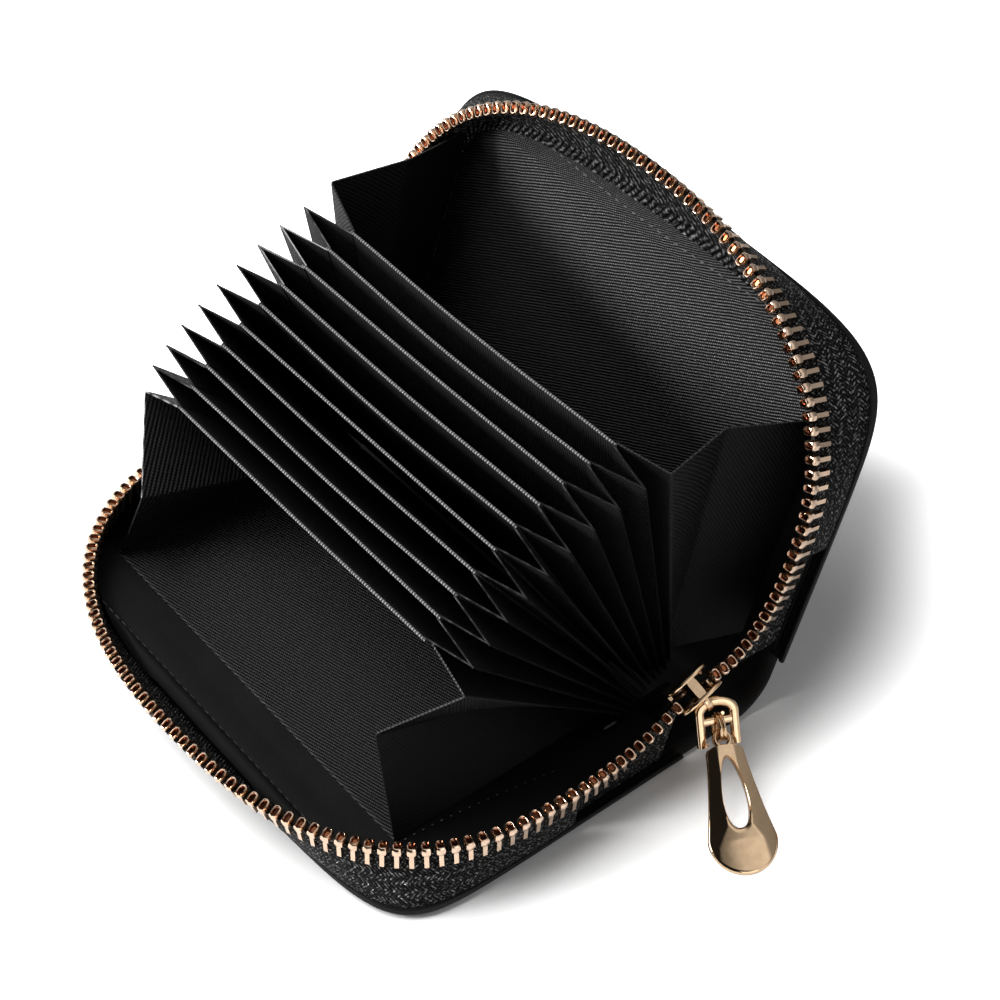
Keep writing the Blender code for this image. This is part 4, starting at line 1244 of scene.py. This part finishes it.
def slider():
    """Two plates, turned-in edges along the tail, and the post at the mouth."""
    patches = shield(plate_level) + shield(-plate_level)
    y = np.linspace(-4.3, -0.5, 12)
    for sign in (-1, 1):
        x = sign * (2.95 + 0.9 * ease((y + 3.0) / 5.0))
        for z in (-1.35, 1.35):
            path = xyz(x, y, z)
            patches += sweep(path, (1, 0, 0), (0, 0, 1), oval(0.33, 0.72, 4.0), on_slider)
    path = xyz(0, np.linspace(0.2, 4.35, 14), 0)
    patches += sweep(path, (1, 0, 0), (0, 0, 1), oval(0.85, 1.85, 5.0), on_slider)
    item = build("slider_casting", patches, pale_gold, 48)
    return belongs(item, "slider_body", "slider")


def bridge():
    """A strap in an arch over the face: half an oval, its feet let into the plate."""
    turn = np.linspace(-0.15, np.pi + 0.15, 30)
    path = xyz(0, 2.2 + arch_radius * np.cos(turn), 2.45 + arch_radius * np.sin(turn))
    up = np.cross(heading(path), (1, 0, 0))
    patches = sweep(path, (1, 0, 0), up, oval(0.62, 0.3, 3.0, 14), on_slider)
    item = build("slider_strap", patches, pale_gold, 48)
    return belongs(item, "slider_bridge", "slider")


print(slider().name, bridge().name)

# %% [markdown]
# ## Link, coil and pull
# The link is a D-shaped casting with a bar across it and two short legs. A coil of wire
# hangs from the bar and holds the pull: a drop of polished metal with a long slot. A facet
# slopes down along each side, and the round end is cut to a lens for the fingertip.

# %% Link
link_across = np.array((0.8988, -0.4384, 0))
link_down = np.array((-0.2192, -0.4494, -0.8660))
link_normal = np.array((0.3796, 0.7784, -0.5))
link_origin = np.array((32.889, -58.294, 14.646)) + 1.2 * link_across
ring_centre = np.array((33.405, -60.659, 11.355))
link_half, wire_radius, coil_radius, coil_turns = 2.95, 0.32, 2.25, 2.5


def on_link(points):
    """From the link's axes: across, down and out of its face."""
    return placed(points, link_origin, link_across, link_down, link_normal)


def rod(points, width, height):
    """A rounded rod along points in the link's plane."""
    side = np.cross(heading(points), (0, 0, 1.0))
    return sweep(points, side, (0, 0, 1.0), oval(width, height, 3.2, 14), on_link)


def link():
    """One rod from leg over the arch to leg, the bar across, and a toe on each leg."""
    turn = np.linspace(np.pi, 0, 26)
    arch = xyz(link_half * np.cos(turn), 1.1 - 1.9 * np.sin(turn), 0)
    leg = xyz(link_half, np.linspace(1.4, 6.95, 16), 0)
    loop = np.concatenate([leg[::-1] * (-1, 1, 1), arch, leg])
    bar = xyz(np.linspace(-2.8, 2.8, 16), 2.6, 0)
    patches = rod(loop, 0.8, 0.66) + rod(bar, 0.7, 0.6)
    toe = xyz(np.linspace(2.9, 1.95, 6), 6.6, 0)
    for sign in (-1, 1):
        patches += rod(toe * (sign, 1, 1), 0.4, 0.48)
    item = build("link_casting", patches, pale_gold, 48)
    return belongs(item, "pull_link", "link")


def coil():
    """Two and a half turns of wire round the ring's axis, its turns side by side."""
    turn = np.linspace(0, 2 * np.pi * coil_turns, 120)
    shift = np.linspace(-0.75, 0.75, 120)
    path = (ring_centre + coil_radius * np.cos(turn)[:, None] * link_down
            + coil_radius * np.sin(turn)[:, None] * link_normal + shift[:, None] * link_across)
    way = heading(path)
    side = unit(np.cross(way, link_across))
    profile = oval(wire_radius, wire_radius, 2.0, 10)
    item = build("wire_coil", sweep(path, side, unit(np.cross(side, way)), profile), pale_gold, 60)
    return belongs(item, "pull_ring", "ring")


print(link().name, coil().name)

# %% Pull
pull_across = np.array((0.8788, -0.4772, 0))
pull_down = np.array((-0.4392, -0.8090, -0.3907))
pull_normal = np.array((0.1864, 0.3434, -0.9205))
pull_origin = ring_centre + 0.7 * pull_down
slot_middle, shoulder, round_start = 11.5, 3.6, 18.5
top_half, end_half, end_length = 3.2, 5.8, 5.9


def drop_half_width(y):
    """Half width of the pull at a distance down: shoulder, straight flare, round end."""
    share = np.clip((y - shoulder) / (round_start - shoulder), 0, 1)
    flare = top_half + (end_half - top_half) * share**1.3
    past = np.clip(y - round_start, 0, end_length) / end_length
    top = top_half * dome(np.clip(shoulder - y, 0, 1.0) ** 2)
    return np.where(y > round_start, end_half * dome(past**2), np.where(y < shoulder, top, flare))


def drop_outline(turn):
    """The pull's outline seen from the slot's middle, at equal turns round it."""
    y = 2.6 + 21.8 * (0.5 - 0.5 * np.cos(np.linspace(0, np.pi, 400)))
    right_side = np.stack([drop_half_width(y), y - slot_middle], -1)
    path = np.concatenate([right_side, right_side[::-1] * (-1, 1)])
    angle = np.unwrap(np.arctan2(path[:, 1], path[:, 0]))
    order = np.argsort(angle)
    low = angle[order][0]
    at = np.mod(turn - low, 2 * np.pi) + low
    reach = np.interp(at, angle[order], np.hypot(path[:, 0], path[:, 1])[order])
    return np.stack([reach * np.cos(turn), slot_middle + reach * np.sin(turn)], -1)


def slot_outline(turn):
    """A slot narrower at its top: half width grows along it."""
    c, s = np.cos(turn), np.sin(turn)
    y = 10.7 + 6.0 * s
    half = 1.9 + 0.55 * s
    return np.stack([half * np.sign(c) * np.abs(c) ** 0.9, y], -1)


def pull():
    """Rings from the slot's edge out to the rim. The face is the lower of a roof, whose sides
    slope down beside a flat crest, and a lens of two slopes that cuts the round end."""
    turn = np.linspace(-np.pi / 2, 1.5 * np.pi, 145)
    inner, outer = slot_outline(turn), drop_outline(turn)
    share = np.concatenate([[0, 0.03, 0.08], np.linspace(0.14, 0.94, 30), [0.97, 1.0]])
    flat = inner[None] + (outer - inner)[None] * share[:, None, None]
    x, y = flat[..., 0], flat[..., 1]
    beside = np.maximum(np.abs(x + 0.25 * (y - 4) / 14) - 1.2 - 0.05 * y, 0)
    roof = 1.0 - 0.31 * beside - 0.015 * beside**2
    first = 1.0 - 0.17 * (y - 16.4 - 0.028 * x**2) - 0.012 * x**2
    second = 0.62 - 0.02 * (y - 19.2 + 0.055 * x**2) - 0.012 * x**2
    top = np.minimum(roof, np.maximum(first, second))
    edge = np.interp(share, [0, 0.03, 0.08, 0.94, 0.97, 1.0], [0.5, 0.15, 0, 0, 0.1, 0.35])
    face = xyz(x, y, edge[:, None] - top)
    back = xyz(x, y, 0.75 - edge[:, None])
    loop = np.concatenate([face, back[::-1], face[:1]])
    around = np.linspace(0, 2 * np.pi, 41)
    radial = xyz(np.cos(around), np.sin(around), 0)
    eye, profile = radial * (1.25, 1.35, 0) + (0, 1.55, 0), oval(0.45, 0.55, 3.0, 12)
    rings = eye[:, None] + profile[:, :1] * radial[:, None] + profile[:, 1:] * (0, 0, 1.0)
    axes = pull_origin, pull_across, pull_down, pull_normal
    patches = [patch(placed(grid, *axes)) for grid in (loop, rings)]
    item = build("pull_drop", patches, pale_gold, 44)
    return belongs(item, "pull_tab", "pull")


print(pull().name)

# %% [markdown]
# ## Stitches
# Thread shows as short raised dashes. One stitch is a capsule of a few faces, and a row is
# that capsule copied along a path.

# %% Stitches
def stitches(name, path, up, length, space, radius, material):
    """Capsules along a path: rings of six points that shrink towards both ends."""
    along = travelled(path[None], 1)
    at = np.arange(length, along[-1] - length, length + space)
    pick = at_distance(at, along, path)
    way = unit(at_distance(at + 0.2, along, path) - pick)
    side = unit(np.cross(way, up))
    t = np.linspace(-1, 1, 6)
    size = radius * dome(t**4, 0.02)[:, None]
    ring = oval(1, 1, 2.0, 6)[:-1]
    capsule = xyz((t * length / 2)[:, None], size * ring[:, 0], size * ring[:, 1]).reshape(-1, 3)
    lids = np.array([(0, 1, 2, 3), (0, 3, 4, 5)])
    faces = np.concatenate([tube_faces(6, 6), lids, lids + 30])
    axes = (way, side, np.cross(side, way))
    print(name, len(pick), "stitches")
    return copied(name, capsule, faces, np.zeros(36), pick, axes, material, 80)


def sewn_lines():
    """Round the right panel, along the left facing, and by the left wide gusset's foot. Each
    row: its place as y, v and w, then a stitch's length, the gap and the thread's radius."""
    y, t = np.linspace(40, -42, 300), np.linspace(0, 1, 200)
    lines = (
        ("right_panel_stitches", right, (y, 54.2 + 0.0011 * (y + 8) ** 2, 3.08), 1.3, 0.9, 0.19),
        ("left_facing_stitches", left, (np.linspace(38, -40, 300), 58.2, 3.2), 1.6, 0.6, 0.2),
        ("left_gusset_stitches", left, (-41.6 - 4.5 * t**1.4, 48.3 - 30 * t, 3.1), 0.45, 1.3, 0.11),
        ("left_gusset_thread", left, (-44.3, np.linspace(9.5, 0.5, 9), 3.6), 3.0, 9.0, 0.22),
    )
    for name, cover, place, *sizes in lines:
        thread = grey_thread if name == "left_gusset_thread" else faint_thread
        row = stitches(name, cover.point(*place), cover.inward, *sizes, thread)
        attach(row, cover.body)


sewn_lines()
